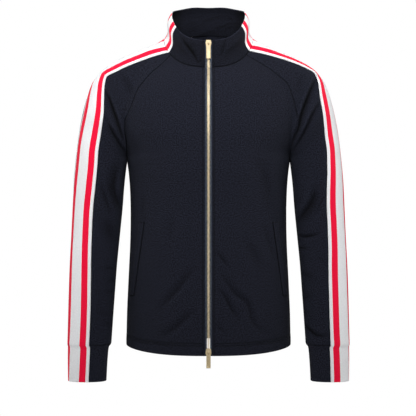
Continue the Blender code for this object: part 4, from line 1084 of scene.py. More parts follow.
def knit_cloth(name, dark, light, depth):
    finish, tree, shader = new_finish(name, light, 0.9, sheen=0.02)
    shader.inputs["Sheen Tint"].default_value = (0.55, 0.6, 0.75, 1.0)
    _, _, places = cut_places(tree)
    shade = tinted(tree, noise(tree, places, 430.0, 2.0, 0.6), dark, light, 0.40, 0.60)
    kept, line_relief = fold_lines(tree)
    # the painted shade and highlight from the folds scale the knit's colour
    scaled = tree.nodes.new("ShaderNodeVectorMath")
    scaled.operation = "SCALE"
    tree.links.new(shade, scaled.inputs[0])
    tree.links.new(kept, scaled.inputs["Scale"])
    tree.links.new(scaled.outputs[0], shader.inputs["Base Color"])
    under = relief(tree, shader, line_relief, 1.0)
    relief(tree, shader, jersey(tree), depth, 1.0, under=under)
    return finish


NAVY = (0.0036, 0.0042, 0.0076), (0.0170, 0.0189, 0.0318)
# darker than the body's navy: painted shade for the collar standing up round the neck
FINE_NAVY = (0.0022, 0.0026, 0.0048), (0.0106, 0.0118, 0.0202)
KNIT_RELIEF, FINE_RELIEF = 0.00022, 0.00016
navy_knit = knit_cloth("navy_knit", *NAVY, KNIT_RELIEF)
navy_rib = knit_cloth("navy_fine_knit", *FINE_NAVY, FINE_RELIEF)
navy_cuff = knit_cloth("navy_cuff_knit", *NAVY, FINE_RELIEF)
print("navy knit with wales", WALE, "m apart")

# %% [markdown]
# ## The striped tape
# The tape is a flat knit woven in bands, with fine ridges along its length that catch the light
# in the white. Its bands are a plain symmetrical layout in the cloth's colours. Each band gets
# its own finish on its own columns of faces, so its edges stay sharp however close the view.


# %% Tape finishes
TAPE_RIDGE, TAPE_ROW_TALL = 0.00130, 0.00070


def tape_cloth(name, dark, light):
    """Fine ridges along the tape, and finer rows across them."""
    finish, tree, shader = new_finish(name, light, 0.78, sheen=0.05)
    across, along, places = cut_places(tree)
    shade = tinted(tree, noise(tree, places, 300.0, 3.0, 0.7), dark, light)
    tree.links.new(shade, shader.inputs["Base Color"])
    ridges = wave(tree, times(tree, across, 1 / TAPE_RIDGE))
    rows = wave(tree, times(tree, along, 1 / TAPE_ROW_TALL))
    height = plus(tree, times(tree, ridges, 0.5), times(tree, rows, 0.25))
    soft = relief(tree, shader, noise(tree, object_places(tree), 30.0, 2.0, 0.5), 0.0012, 0.5)
    relief(tree, shader, height, 0.00014, 1.0, under=soft)
    return finish


white_tape = tape_cloth("white_tape", (0.86, 0.86, 0.88), (0.93, 0.93, 0.95))
red_tape = tape_cloth("red_tape", (0.90, 0.0035, 0.040), (0.98, 0.0045, 0.052))
print("tape bands, front to back, in mm:", [round(1000 * b) for b in TAPE_BANDS])

# %% [markdown]
# ## The cut pieces
# A raglan track jacket is two fronts, one back, two sleeves in two parts, a striped tape over
# each, cuffs, and a stand collar in the same parts. The two sides are cut alike, but on a
# filled-out jacket they never sit alike: each side has its own seam lines, and the creases are
# laid over the whole jacket, so that none of them is a mirror image.

# %% One cut piece: creased, walled, finished and declared
SINGLE, DOUBLE, TAPE_CLOTH = 0.0016, 0.0028, 0.0018
GROOVE_DEPTH, GROOVE_WIDTH = 0.00045, 0.0009
# painted shadow along seams, and along stitched grooves
SEAM_SHADOW, GROOVE_SHADOW = 0.58, 0.62
RIM_HIGHLIGHT, RIM_WIDTH = 4.0, 0.0011  # painted highlight along the collar's folded top edge, where it catches the light
BEND_FROM, BEND_WIDTH = 0.058, 0.016  # painted shade inside the collar where it turns
LINE_FADE = 0.0015
HEM_ROWS, HEM_PUFF = (0.0200, 0.0255), 0.0004
HEM_STEP = 0.0012  # the hem's turned layer ends over this distance
ZIP_EDGE_ROW = 0.0042
TAPE_ROW, TAPE_LIFT = 0.0014, 0.0003
SEAMED = dict.fromkeys(EDGES, "seam")
cut_pieces = {}


def cut_map(grid, origin):
    """Distances across from the piece's start, end or middle, and up from its bottom."""
    away = edge_distances(grid)
    if origin == "middle":
        column = grid.shape[1] // 2
        across = away["start"] - away["start"][:, [column]]
    else:
        across = away[origin]
    return np.stack([across, away["bottom"]], axis=2)


def add_line(folds, far, dark):
    """Adds the painted shadow of a seam or a stitched line to the folds' painted shadows."""
    mine = dark * np.clip(2.0 - np.abs(far) / LINE_FADE, 0.0, 1.0)
    closer = mine > folds[:, 1]
    folds[:, 0] = np.where(closer, far, folds[:, 0])
    folds[:, 1] = np.maximum(mine, folds[:, 1])


def declare(piece, finishes, body, solid):
    """Gives a piece its finishes and the body it moves with, and hides the solid it stands for."""
    for finish in finishes:
        piece.data.materials.append(finish)
    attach(piece, body)
    if solid:
        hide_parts(solid)


def make_piece(name, grid, side, finishes, edges, thickness=SINGLE, origin="start", grooves=(),
               hem=False, bands=None, lift=0.0):
    """A cut piece as a closed shell of cloth that stands for the solid of the same name."""
    cut = cut_map(grid, origin)
    points, folds = crease(grid.reshape(-1, 3))
    grid = points.reshape(grid.shape)
    outer, inner, normals, away = shell_of(grid, side, thickness, edges)
    raised = np.full(grid.shape[:2], lift)
    lines = [(edge, 0.0, SEAM_SHADOW) for edge, kind in edges.items() if kind == "seam"]
    for edge, distance in grooves:
        raised -= GROOVE_DEPTH * np.exp(-(((away[edge] - distance) / GROOVE_WIDTH) ** 2))
        lines.append((edge, distance, GROOVE_SHADOW))
    # painted highlight along the collar's folded top edge, as negative shade
    if "collar" in name:
        folds[:, 2] -= RIM_HIGHLIGHT * np.exp(-((away["top"] / RIM_WIDTH) ** 2)).ravel()
    for edge, distance, dark in lines:
        add_line(folds, (away[edge] - distance).ravel(), dark)
    if hem:
        up = np.clip(away["bottom"] / HEM_ROWS[1], 0.0, 1.0)
        raised += HEM_PUFF * np.sin(np.pi * up) ** 0.7
    outer += raised[:, :, None] * normals
    inside = folds.copy()
    # painted shade on the inside of the collar where it turns
    if "collar" in name:
        bend = (np.abs(points[:, 0]) - BEND_FROM) / BEND_WIDTH
        inside[:, 2] += np.clip(bend, 0.0, 1.0) * (points[:, 1] > 0)
    piece = cloth_mesh(name, outer, inner, cut, side, np.concatenate([folds, inside]), bands)
    declare(piece, finishes, "garment", name.removesuffix("_cloth"))
    cut_pieces[name] = (piece, outer, inner, normals, away)
    wide = float(away["start"][:, -1].max())
    tall = float(away["bottom"][-1].max())
    flat = 0.5 * sum(face.area for face in piece.data.polygons)
    print(f"{name}: {wide:.3f} x {tall:.3f} m, {flat:.4f} m2, {len(piece.data.polygons)} faces")


MIRROR = np.array([-1.0, 1.0, 1.0])
SIDES = (("left", 1), ("right", -1))

# %% Fronts and back
back_lines = [
    np.concatenate([line, (line * MIRROR)[::-1][1:]]) for line in body_lines("left")[1]
]
back_grid = fine_grid(back_lines, bottom=HEM_STEPS)


def hem_thickness(grid):
    """Double below the hem's stitching, single above it."""
    up = edge_distances(grid)["bottom"]
    return SINGLE + (DOUBLE - SINGLE) * np.clip((HEM_TURN + HEM_STEP - up) / HEM_STEP, 0.0, 1.0)


for word, side in SIDES:
    grid = fine_grid(body_lines(word)[0], start=ZIP_EDGE_STEPS, bottom=HEM_STEPS) * [side, 1, 1]
    make_piece(
        f"front_{word}_cloth", grid, side, [navy_knit],
        {**SEAMED, "start": "fold", "bottom": "fold"}, thickness=hem_thickness(grid), hem=True,
        grooves=(("start", ZIP_EDGE_ROW), *(("bottom", row) for row in HEM_ROWS)),
    )
make_piece(
    "back_cloth", back_grid, 1, [navy_knit], {**SEAMED, "bottom": "fold"},
    thickness=hem_thickness(back_grid), origin="middle", hem=True,
    grooves=[("bottom", row) for row in HEM_ROWS],
)

# %% Sleeves, tapes and cuffs
def band_places():
    """Where the tape's columns lie across it, with one at each border between bands."""
    places = [np.array([0.0])]
    start = 0.0
    for width in TAPE_BANDS:
        steps = max(3, int(round(width / STEP)) + 1)
        places.append(start + width * np.arange(1, steps + 1) / steps)
        start += width
    return np.concatenate(places)


def band_of(places):
    """Each column's finish: white, red, white, red, white."""
    middles = (places[1:] + places[:-1]) / 2
    return np.searchsorted(np.cumsum(TAPE_BANDS), middles) % 2


near_edge = np.array([0.0, 0.0005, 0.0012])
tape_places = np.concatenate([near_edge, band_places(), TAPE_WIDTH - near_edge])
tape_places = np.unique(tape_places.round(6))


def make_tape(name, lines, flip, inside, folded, thickness, lift=0.0):
    """A piece of striped tape, stitched down along both its edges."""
    make_piece(
        name, fine_grid(lines, across=tape_places / TAPE_WIDTH) * flip, flip[0],
        [white_tape, red_tape, inside], {**SEAMED, "start": "fold", "end": "fold", folded: "fold"},
        thickness=thickness, bands=band_of(tape_places), lift=lift,
        grooves=(("start", TAPE_ROW), ("end", TAPE_ROW)),
    )


for word, side in SIDES:
    cuff_rows, sleeve_rows = sleeve_lines(word)
    flip = np.array([side, 1.0, 1.0])
    for name, part, origin in (("sleeve_front", 0, "end"), ("sleeve_back", 2, "start")):
        grid = fine_grid([row[part] for row in sleeve_rows], step=SLEEVE_STEP) * flip
        make_piece(f"{name}_{word}_cloth", grid, side, [navy_knit], SEAMED, origin=origin)
    cuff_lines = [np.concatenate([after, before[1:]]) for before, _, after in cuff_rows]
    cuff_lines.append(np.concatenate([sleeve_rows[0][2], sleeve_rows[0][0][1:]]))
    make_piece(
        f"cuff_{word}_cloth", fine_grid(cuff_lines) * flip, side, [navy_cuff],
        {**SEAMED, "bottom": "fold"}, thickness=DOUBLE,
    )
    tape_lines = [row[1] for row in cuff_rows + sleeve_rows]
    name = f"stripe_sleeve_{word}_cloth"
    make_tape(name, tape_lines, flip, navy_knit, "bottom", TAPE_CLOTH, lift=TAPE_LIFT)

# %% Collar
collar_after = {}
for word, side in SIDES:
    before, under, after = collar_lines(word)
    flip = np.array([side, 1.0, 1.0])
    make_piece(
        f"collar_front_{word}_cloth", fine_grid(before, start=ZIP_EDGE_STEPS) * flip, side,
        [navy_rib], {**SEAMED, "start": "fold", "top": "fold"}, thickness=DOUBLE,
        grooves=(("start", ZIP_EDGE_ROW),),
    )
    make_tape(f"stripe_collar_{word}_cloth", under, flip, navy_rib, "top", DOUBLE)
    collar_after[word] = [line * flip for line in after]
collar_back_lines = [
    np.concatenate([left, right[::-1][1:]])
    for left, right in zip(collar_after["left"], collar_after["right"])
]
make_piece(
    "collar_back_cloth", fine_grid(collar_back_lines), 1, [navy_rib],
    {**SEAMED, "top": "fold"}, thickness=DOUBLE, origin="middle",
)
print(len(cut_pieces), "cut pieces")

# %% [markdown]
# ## Welt pockets
# A welt is a folded strip of the jacket's own cloth, set into a slanted slit and topstitched
# round. From outside it is a flat band standing a little proud of the front. It is laid on the
# finished front by casting each of its points straight back onto the cloth, so that it follows
# the front's roundness and creases.

# %% Points on a front, found by looking at it from the front
POCKET = {"z": (-0.557, -0.398), "x": (0.1590, 0.1360)}
IN_FRONT = -1.0


def cloth_tree(name):
    piece = cut_pieces[name][0]
    corners = [v.co.copy() for v in piece.data.vertices]
    return BVHTree.FromPolygons(corners, [tuple(p.vertices) for p in piece.data.polygons])


def laid_on(tree, x, z, stands=0.0):
    """The point of the cloth behind (x, z) in the front view, moved out by a distance."""
    place, normal, _, _ = tree.ray_cast(Vector((x, IN_FRONT, z)), Vector(BACKWARD))
    if normal.y > 0:
        normal = -normal
    return np.array(place + stands * normal), np.array(normal)


front_trees = {word: cloth_tree(f"front_{word}_cloth") for word, _ in SIDES}
print("cloth at the left pocket", laid_on(front_trees["left"], 0.15, -0.45)[0].round(4))

# %% Welts
WELT_WIDTH, WELT_CLOTH = 0.0190, 0.0014
WELT_FOLD = (0.0, 0.0003, 0.0009, 0.0022)  # points close together where its edge turns
WELT_ACROSS = (0.0040, 0.0048, 0.0070, 0.0095, 0.0120, 0.0142, 0.0150)
WELT_ROWS = (("start", 0.0048), ("end", 0.0032))
WELT_ROUNDING, WELT_SWELL, WELT_SHADOW = 0.0009, 0.0006, 0.8
WELT_STANDS, WELT_GROOVE = 0.0003, (0.0004, 0.0008)  # above the front; depth and width
MOST_REACH = 0.94  # the welt ends before the body turns away at its side


def add_welt(word, side):
    tree = front_trees[word]
    (low, high), (low_x, high_x) = POCKET["z"], POCKET["x"]
    turned = np.array(WELT_FOLD)
    up = np.linspace(turned[-1], high - low - turned[-1], 52)
    up = np.unique(np.concatenate([turned, up, high - low - turned]).round(6))
    wide = np.concatenate([turned, WELT_ACROSS, WELT_WIDTH - 0.0005 - turned[::-1]])
    grid, normals = [], []
    for height in up:
        z = low + height
        x = np.interp(z, (low, high), (low_x, high_x))
        reach = min(MOST_REACH * (smooth_value(BODY, "z", "half_width", z) - x), WELT_WIDTH)
        across = np.linspace(0.0, reach, 40)
        row = [laid_on(tree, side * (x + w), z, WELT_STANDS) for w in across]
        line, out = np.array([r[0] for r in row]), np.array([r[1] for r in row])
        grid.append(points_at(line, wide))
        normals.append(columns_at(out, lengths_along(line), wide))
    grid, normals = np.array(grid), np.array(normals)
    normals /= np.linalg.norm(normals, axis=2)[:, :, None]
    away = edge_distances(grid)
    edge = np.minimum.reduce([away[name] for name in EDGES])
    stitched = np.minimum.reduce([abs(away[name] - row) for name, row in WELT_ROWS])
    height = WELT_CLOTH + WELT_SWELL * np.clip(edge / 0.004, 0, 1) - rounded(edge, WELT_ROUNDING)
    height -= WELT_GROOVE[0] * np.exp(-((stitched / WELT_GROOVE[1]) ** 2))
    name = f"pocket_welt_{word}_cloth"
    folds = np.zeros((edge.size, 3))
    folds[:, 0] = edge.ravel()
    # painted shadow along the welt's edges
    add_line(folds, edge.ravel(), WELT_SHADOW)
    outer = grid + height[:, :, None] * normals
    piece = cloth_mesh(name, outer, grid, cut_map(grid, "start"), side, np.tile(folds, (2, 1)))
    declare(piece, [navy_knit], "garment", f"pocket_welt_{word}")
    cut_pieces[name] = (piece, outer, grid, normals, away)
    print(name, len(piece.data.polygons), "faces")


for word, side in SIDES:
    add_welt(word, side)

# %% [markdown]
# ## Stitches
# Machine stitching shows as short raised threads with a gap where each dives into the cloth. One
# stitch is modelled as a small six-sided pod, and copied along lines that keep a constant
# distance from an edge: two rows round the hem, one beside the zip and round the collar's zip
# edge, one along each edge of the tape, and one along each long edge of a welt. The tools for such
# small shapes come first, because the zip's parts are made with them too.

# %% Tools for small shapes
def choose(piece, test, kind="FACE"):
    """In edit mode, selects only the faces or corners whose middle passes a test."""
    bpy.ops.mesh.select_mode(type=kind)
    bpy.ops.mesh.select_all(action="DESELECT")
    shape = bmesh.from_edit_mesh(piece.data)
    if kind == "FACE":
        for face in shape.faces:
            face.select = bool(test(face.calc_center_median(), face.normal))
    else:
        for corner in shape.verts:
            corner.select = bool(test(corner.co))
    shape.select_flush_mode()
    bmesh.update_edit_mesh(piece.data)


def cut_across(axis, places):
    """In edit mode, cuts all of a piece along planes square to an axis."""
    normal = np.eye(3)[axis]
    for place in places:
        bpy.ops.mesh.select_all(action="SELECT")
        bpy.ops.mesh.bisect(plane_co=tuple(place * normal), plane_no=tuple(normal))


def draw_in(x, y, z, centre=(0.0, 0.0, 0.0)):
    """In edit mode, scales what is selected about a point."""
    bpy.ops.transform.resize(value=(x, y, z), center_override=centre)


def shape_of(piece):
    """A piece's corners and faces as numbers. The piece itself is removed."""
    points = np.array([v.co for v in piece.data.vertices])
    faces = [tuple(p.vertices) for p in piece.data.polygons]
    bpy.data.objects.remove(piece)
    return points, faces


print("tools for small shapes ready")


# %% One stitch, and its copies along a line
STITCH_LENGTH, STITCH_PITCH, STITCH_RADIUS = 0.0024, 0.0031, 0.00032
HALF_STEP = 0.0005


def stitch_pod():
    """A stitch lying along X at the origin, from a six-sided rod with its ends drawn in."""
    bpy.ops.object.select_all(action="DESELECT")
    bpy.ops.mesh.primitive_cylinder_add(vertices=6, radius=STITCH_RADIUS, depth=STITCH_LENGTH,
                                        rotation=(0.0, math.pi / 2, 0.0))
    pod = bpy.context.object
    bpy.ops.object.transform_apply(location=True, rotation=True, scale=True)
    bpy.ops.object.mode_set(mode="EDIT")
    cut_across(0, (-0.3 * STITCH_LENGTH, 0.3 * STITCH_LENGTH))
    choose(pod, lambda at: abs(at.x) > 0.49 * STITCH_LENGTH, "VERT")
    draw_in(1.0, 0.35, 0.35)
    bpy.ops.object.mode_set(mode="OBJECT")
    return shape_of(pod)


POD_POINTS, POD_FACES = stitch_pod()


def copies_of(points, faces, places, along, out):
    """Copies of a small shape: its X along a line, its Z out of the cloth."""
    along = along / np.linalg.norm(along, axis=1)[:, None]
    across = np.cross(out, along)
    across /= np.linalg.norm(across, axis=1)[:, None]
    out = np.cross(along, across)
    axes = np.stack([along, across, out], axis=1)
    moved = np.einsum("pk,nkj->npj", points, axes) + places[:, None, :]
    starts = range(0, len(places) * len(points), len(points))
    shifted = [tuple(v + start for v in face) for start in starts for face in faces]
    return moved.reshape(-1, 3), shifted


def shared_out(line, middles):
    """Places on a line, and which way it runs at each."""
    ahead, behind = (points_at(line, middles + step) for step in (HALF_STEP, -HALF_STEP))
    return points_at(line, middles), ahead - behind


SUNK = 0.00004  # stitches lie this deep in the cloth


def stitch_line(line, out, pitch=STITCH_PITCH):
    """Stitches shared out along a line that lies on the cloth."""
    lengths = lengths_along(line)
    count = max(2, int(lengths[-1] / pitch))
    middles = (np.arange(count) + 0.5) * lengths[-1] / count
    places, ahead = shared_out(line, middles)
    normals = columns_at(out, lengths, middles)
    normals /= np.linalg.norm(normals, axis=1)[:, None]
    return copies_of(POD_POINTS, POD_FACES, places - SUNK * normals, ahead, normals)


def line_beside(name, edge, distance):
    """The line on a piece that keeps a distance from one edge, with its normals."""
    _, outer, _, normals, away = cut_pieces[name]
    grids = [outer, normals, away[edge][:, :, None]]
    if edge in ("bottom", "top"):
        grids = [grid.transpose(1, 0, 2) for grid in grids]
    if edge in ("end", "top"):
        grids = [grid[:, ::-1] for grid in grids]
    outer, normals, from_edge = grids
    return tuple(
        np.concatenate([columns_at(row, d[:, 0], [distance]) for d, row in zip(from_edge, grid)])
        for grid in (outer, normals)
    )


def join_copies(name, parts, finish, solid=None):
    """One piece from several runs of copies."""
    points, faces, start = [], [], 0
    for some_points, some_faces in parts:
        points.append(some_points)
        faces += [tuple(v + start for v in face) for face in some_faces]
        start += len(some_points)
    piece = new_piece(name, np.concatenate(points), faces)
    declare(piece, [finish], "garment", solid)
    print(name, len(faces), "faces")
    return piece


print("a stitch has", len(POD_FACES), "faces")


# %% Thread
def thread_finish(name, dark, light):
    """Twisted thread: fine slanting ridges, slightly glossier than the cloth."""
    finish, tree, shader = new_finish(name, light, 0.55, sheen=0.05)
    places = object_places(tree)
    shade = tinted(tree, noise(tree, places, 900.0, 2.0), dark, light)
    tree.links.new(shade, shader.inputs["Base Color"])
    twist = tree.nodes.new("ShaderNodeTexWave")
    twist.bands_direction = "DIAGONAL"
    twist.inputs["Scale"].default_value = 900.0
    tree.links.new(places, twist.inputs["Vector"])
    relief(tree, shader, twist.outputs["Fac"], 0.00006, 1.0)
    return finish


navy_thread = thread_finish("navy_thread", (0.010, 0.012, 0.020), (0.020, 0.023, 0.036))
white_thread = thread_finish("white_thread", (0.62, 0.62, 0.65), (0.80, 0.80, 0.83))
blue_thread = thread_finish("zip_edge_thread", (0.10, 0.13, 0.18), (0.24, 0.29, 0.36))
print("three threads")

# %% Stitched lines on the cloth
WORDS = ("left", "right")
BY_THE_ZIP = [f"{name}_{word}_cloth" for name in ("front", "collar_front") for word in WORDS]
SEWN_LINES = (
    # stitches, the pieces they are on, and each row's edge and distance from it
    ("hem_stitches", ["front_left_cloth", "front_right_cloth", "back_cloth"],
     [("bottom", row) for row in HEM_ROWS], navy_thread, "navy_knit"),
    ("zip_edge_stitches", BY_THE_ZIP, [("start", ZIP_EDGE_ROW)], navy_thread, "navy_knit"),
    ("welt_stitches", [f"pocket_welt_{word}_cloth" for word in WORDS], WELT_ROWS, navy_thread,
     "navy_knit"),
    *(
        (f"tape_stitches_{word}", [f"stripe_{name}_{word}_cloth" for name in ("sleeve", "collar")],
         [("start", TAPE_ROW), ("end", TAPE_ROW)], white_thread, "stripe_knit")
        for word in WORDS
    ),
)
for name, sewn, rows, thread, slot in SEWN_LINES:
    runs = [stitch_line(*line_beside(on, edge, row)) for on in sewn for edge, row in rows]
    join_copies(name, runs, thread)

# %% [markdown]
# ## The zip
# A metal two-way zip has three kinds of part: two woven tapes, a row of brass teeth clamped to
# each, and two sliders with pulls. The tapes' shape comes from the frame and is only made finer.
# Each tooth is a clamped block with a nose that fits between two teeth of the other side. One is
# modelled from a bevelled block, and copied along the chain at its real pitch.

# %% Woven zip tapes
def merged_copy(node, name):
    """A copy of a solid with its loose corners joined."""
    bpy.ops.object.select_all(action="DESELECT")
    piece = bpy.data.objects.new(name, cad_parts[node].data.copy())
    bpy.context.scene.collection.objects.link(piece)
    piece.matrix_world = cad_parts[node].matrix_world.copy()
    piece.select_set(True)
    bpy.context.view_layer.objects.active = piece
    bpy.ops.object.mode_set(mode="EDIT")
    bpy.ops.mesh.select_all(action="SELECT")
    bpy.ops.mesh.remove_doubles(threshold=0.00002)
    bpy.ops.object.mode_set(mode="OBJECT")
    return piece


TWILL_WIDE, TWILL_TALL = 0.0024, 0.00075


def weave(name, dark, light):
    """A twill: rows of short slanting floats, alternately left and right in narrow columns."""
    finish, tree, shader = new_finish(name, light, 0.75, sheen=0.08)
    across, along, places = cut_places(tree)
    column = maths(tree, "FRACT", maths(tree, "DIVIDE", across, TWILL_WIDE))
    slant = maths(tree, "ABSOLUTE", maths(tree, "SUBTRACT", column, 0.5))
    step = plus(tree, maths(tree, "DIVIDE", along, TWILL_TALL), times(tree, slant, 2.4))
    floats = wave(tree, step)
    shade = tinted(tree, plus(tree, times(tree, floats, 0.2), 0.5), dark, light)
    tree.links.new(shade, shader.inputs["Base Color"])
    relief(tree, shader, floats, 0.00012, 1.0)
    return finish


zip_weave = weave("zip_weave", (0.010, 0.013, 0.024), (0.030, 0.036, 0.056))


ZIP_FOOT_Z, ZIP_HEAD_Z = -0.664, -0.014


def add_zip_tape(word):
    piece = merged_copy(f"zip_tape_{word}", f"zip_tape_{word}_cloth")
    bpy.ops.object.mode_set(mode="EDIT")
    cut_across(2, np.arange(ZIP_FOOT_Z, ZIP_HEAD_Z, 0.012))
    bpy.ops.object.mode_set(mode="OBJECT")
    layer = piece.data.uv_layers.new(name="cut")
    for loop in piece.data.loops:
        place = piece.data.vertices[loop.vertex_index].co
        layer.data[loop.index].uv = (abs(place.x), place.z)
    piece.data.materials.clear()
    bpy.ops.object.shade_smooth_by_angle(angle=math.radians(30))
    declare(piece, [zip_weave], "garment", f"zip_tape_{word}")
    print(piece.name, len(piece.data.polygons), "faces")


for word in WORDS:
    add_zip_tape(word)

# %% The chain's middle line, read from its solid
corners, _ = shape_of(merged_copy("zip_chain", "chain_line"))
corners = corners[corners[:, 0] > 0]
corners = corners[np.argsort(corners[:, 2])]
chain_line = corners.reshape(-1, 2, 3).mean(axis=1) * [0.0, 1.0, 1.0]
chain_line = chain_line[np.argsort(chain_line[:, 2])]
print("chain", round(lengths_along(chain_line)[-1], 3), "m long")


# %% Gold metal
PLATED = 0.40  # the clear lacquer over the plating scatters the rest of the light


def plated_metal(name, colour, roughness):
    """Plated, lacquered metal: fine scratches, slightly uneven polish and duller places."""
    finish, tree, shader = new_finish(name, colour, roughness, metallic=PLATED)
    places = object_places(tree)
    shade = tinted(tree, noise(tree, places, 260.0, 4.0), tuple(0.82 * c for c in colour), colour)
    tree.links.new(shade, shader.inputs["Base Color"])
    polish = times(tree, noise(tree, places, 700.0, 3.0), 0.22)
    tree.links.new(plus(tree, polish, roughness - 0.10), shader.inputs["Roughness"])
    relief(tree, shader, noise(tree, places, 1500.0, 4.0, 0.7), 0.00003, 0.7)
    return finish


tooth_gold = plated_metal("tooth_gold", (0.92, 0.78, 0.53), 0.48)
slider_gold = plated_metal("slider_gold", (0.68, 0.55, 0.33), 0.58)
print("gold, with", PLATED, "of its shine")

# %% One tooth
TOOTH_PITCH = 0.00127  # from a tooth to the next one, on the other side
TOOTH_OUTER, TOOTH_SHOULDER, TOOTH_NOSE = 0.0031, 0.0006, -0.0011
TOOTH_DEEP, TOOTH_TALL = 0.0025, 0.00105


def new_block(name, low, high):
    """A block between two corners, alone selected."""
    low, high = np.array(low), np.array(high)
    middle, size = (low + high) / 2, high - low
    bpy.ops.object.select_all(action="DESELECT")
    bpy.ops.mesh.primitive_cube_add(size=1.0, location=tuple(middle), scale=tuple(size))
    bpy.ops.object.transform_apply(location=True, rotation=True, scale=True)
    bpy.context.object.name = name
    return bpy.context.object


def soften(piece, width, segments=2):
    """Rounds every edge sharper than an angle, and shades the piece smooth between them."""
    bpy.context.view_layer.objects.active = piece
    bevel = piece.modifiers.new("soften", "BEVEL")
    bevel.width = width
    bevel.segments = segments
    bevel.limit_method = "ANGLE"
    bevel.angle_limit = math.radians(35)
    bpy.ops.object.modifier_apply(modifier=bevel.name)
    bpy.ops.object.shade_smooth_by_angle(angle=math.radians(40))


def one_tooth():
    """A tooth of the left side, its nose to the right, at the origin."""
    half, tall = TOOTH_DEEP / 2, TOOTH_TALL / 2
    tooth = new_block("tooth", (TOOTH_NOSE, -half, -tall), (TOOTH_OUTER, half, tall))
    bpy.ops.object.mode_set(mode="EDIT")
    cut_across(0, (TOOTH_SHOULDER,))
    choose(tooth, lambda at: at.x < 0.0, "VERT")
    draw_in(1.0, 0.62, 0.80)
    bpy.ops.object.mode_set(mode="OBJECT")
    soften(tooth, 0.00018, segments=1)
    return shape_of(tooth)


TOOTH_POINTS, TOOTH_FACES = one_tooth()
print("a tooth has", len(TOOTH_FACES), "faces")

# %% Teeth along the chain
def add_teeth():
    length = lengths_along(chain_line)[-1]
    middles = np.arange(0.5 * TOOTH_PITCH, length, TOOTH_PITCH)
    places, up = shared_out(chain_line, middles)
    rows = []
    for first, (_, side) in enumerate(SIDES):
        mine = np.s_[first::2]
        along = np.tile([float(side), 0.0, 0.0], (len(places[mine]), 1))
        rows.append(copies_of(TOOTH_POINTS, TOOTH_FACES, places[mine], along, up[mine]))
    return join_copies("zip_teeth", rows, tooth_gold, solid="zip_chain")


teeth = add_teeth()
teeth.data.polygons.foreach_set("use_smooth", np.zeros(len(teeth.data.polygons), bool))

# %% Stitches along the zip tapes, beside the teeth
BESIDE_TEETH = (0.0041, 0.0056)
ON_TAPE = 0.00055  # how far the tape's face is from the chain's middle

zip_tape_rows = []
forward = np.gradient(chain_line, axis=0)
out = np.stack([np.zeros(len(forward)), -forward[:, 2], forward[:, 1]], axis=1)
out /= np.linalg.norm(out, axis=1)[:, None]
for _, side in SIDES:
    for reach in BESIDE_TEETH:
        line = chain_line + [side * reach, 0.0, 0.0]
        zip_tape_rows.append(stitch_line(line + ON_TAPE * out, out, pitch=0.0029))
join_copies("zip_tape_stitches", zip_tape_rows, blue_thread)

# %% [markdown]
# ## Sliders and pulls
# A slider is two plates held apart by a post at its wide end, with the sides turned in to guide
# the teeth, and an arch on the front that holds the pull. The upper slider closes upwards and its
# pull lies on the zip below it. The lower one is the same casting upside down, with its pull
# hanging free under the hem. The plates start as blocks, are cut across and drawn in to the
# slider's outline, and get a raised pad. The arch is a small face spun through half a turn.

# %% Slider
PLATE_GAP, PLATE = 0.0014, 0.0014
SLIDER_OUTLINE = (
    # height, width
    (-0.0075, 0.0086), (-0.0050, 0.0102), (-0.0010, 0.0118), (0.0019, 0.0125), (0.0050, 0.0108),
    (0.0075, 0.0090),
)
SLIDER_WIDE, SLIDER_HALF_TALL = 0.0125, 0.0075
PAD_INSET, PAD_EDGE, PAD_HIGH = 0.0013, 0.0004, 0.00035
RAIL_LOW, RAIL_HIGH, RAIL_INSET = -0.0068, 0.0045, 0.0007
RAIL_HALF, RAIL_LIP = 0.0005, 0.0006
POST_LOW, POST_HIGH, POST_HALF = 0.0039, 0.0073, 0.0016
SINKS_IN = 0.0004
BAIL_FOOT_Z, BAIL_WIDE, BAIL_SINKS, BAIL_HIGH = -0.0032, 0.0026, 0.0002, 0.0046
TOP_PLACE = Matrix.Translation((0.0, -0.076476, -0.018)) @ Matrix.Rotation(-0.08703, 4, "X")
BOTTOM_PLACE = (
    Matrix.Translation((0.0, -0.113167, -0.67))
    @ Matrix.Rotation(math.pi, 4, "Y") @ Matrix.Rotation(0.05496, 4, "X")
)


def add_plate(name, near, far, forward):
    """A plate of the slider, with a raised pad on its outer face."""
    wide, tall = SLIDER_WIDE / 2, SLIDER_HALF_TALL
    plate = new_block(name, (-wide, near, -tall), (wide, far, tall))
    bpy.ops.object.mode_set(mode="EDIT")
    cut_across(2, [z for z, _ in SLIDER_OUTLINE[1:-1]])
    for z, width in SLIDER_OUTLINE:
        choose(plate, lambda at: abs(at.z - z) < 0.0001, "VERT")
        draw_in(width / SLIDER_WIDE, 1.0, 1.0, (0.0, 0.0, z))
    choose(plate, lambda at, normal: normal.y * forward > 0.9)
    bpy.ops.mesh.inset(thickness=PAD_INSET, depth=0.0)
    bpy.ops.mesh.inset(thickness=PAD_EDGE, depth=PAD_HIGH)
    bpy.ops.object.mode_set(mode="OBJECT")
    soften(plate, 0.00025)
    return plate


def add_rails():
    """The turned-in sides that guide the teeth, from a block drawn in like the plates."""
    rails = []
    for side in (-1, 1):
        at = side * SLIDER_WIDE / 2
        rail = new_block("rail", (at - RAIL_HALF, -PLATE_GAP - RAIL_LIP, RAIL_LOW),
                         (at + RAIL_HALF, -RAIL_LIP, RAIL_HIGH))
        bpy.ops.object.mode_set(mode="EDIT")
        cut_across(2, [z for z, _ in SLIDER_OUTLINE[1:4]])
        bpy.ops.object.mode_set(mode="OBJECT")
        for corner in rail.data.vertices:
            reach = np.interp(corner.co.z, *zip(*SLIDER_OUTLINE)) / 2
            corner.co.x += side * (reach - RAIL_INSET) - at
        soften(rail, 0.0002)
        rails.append(rail)
    return rails


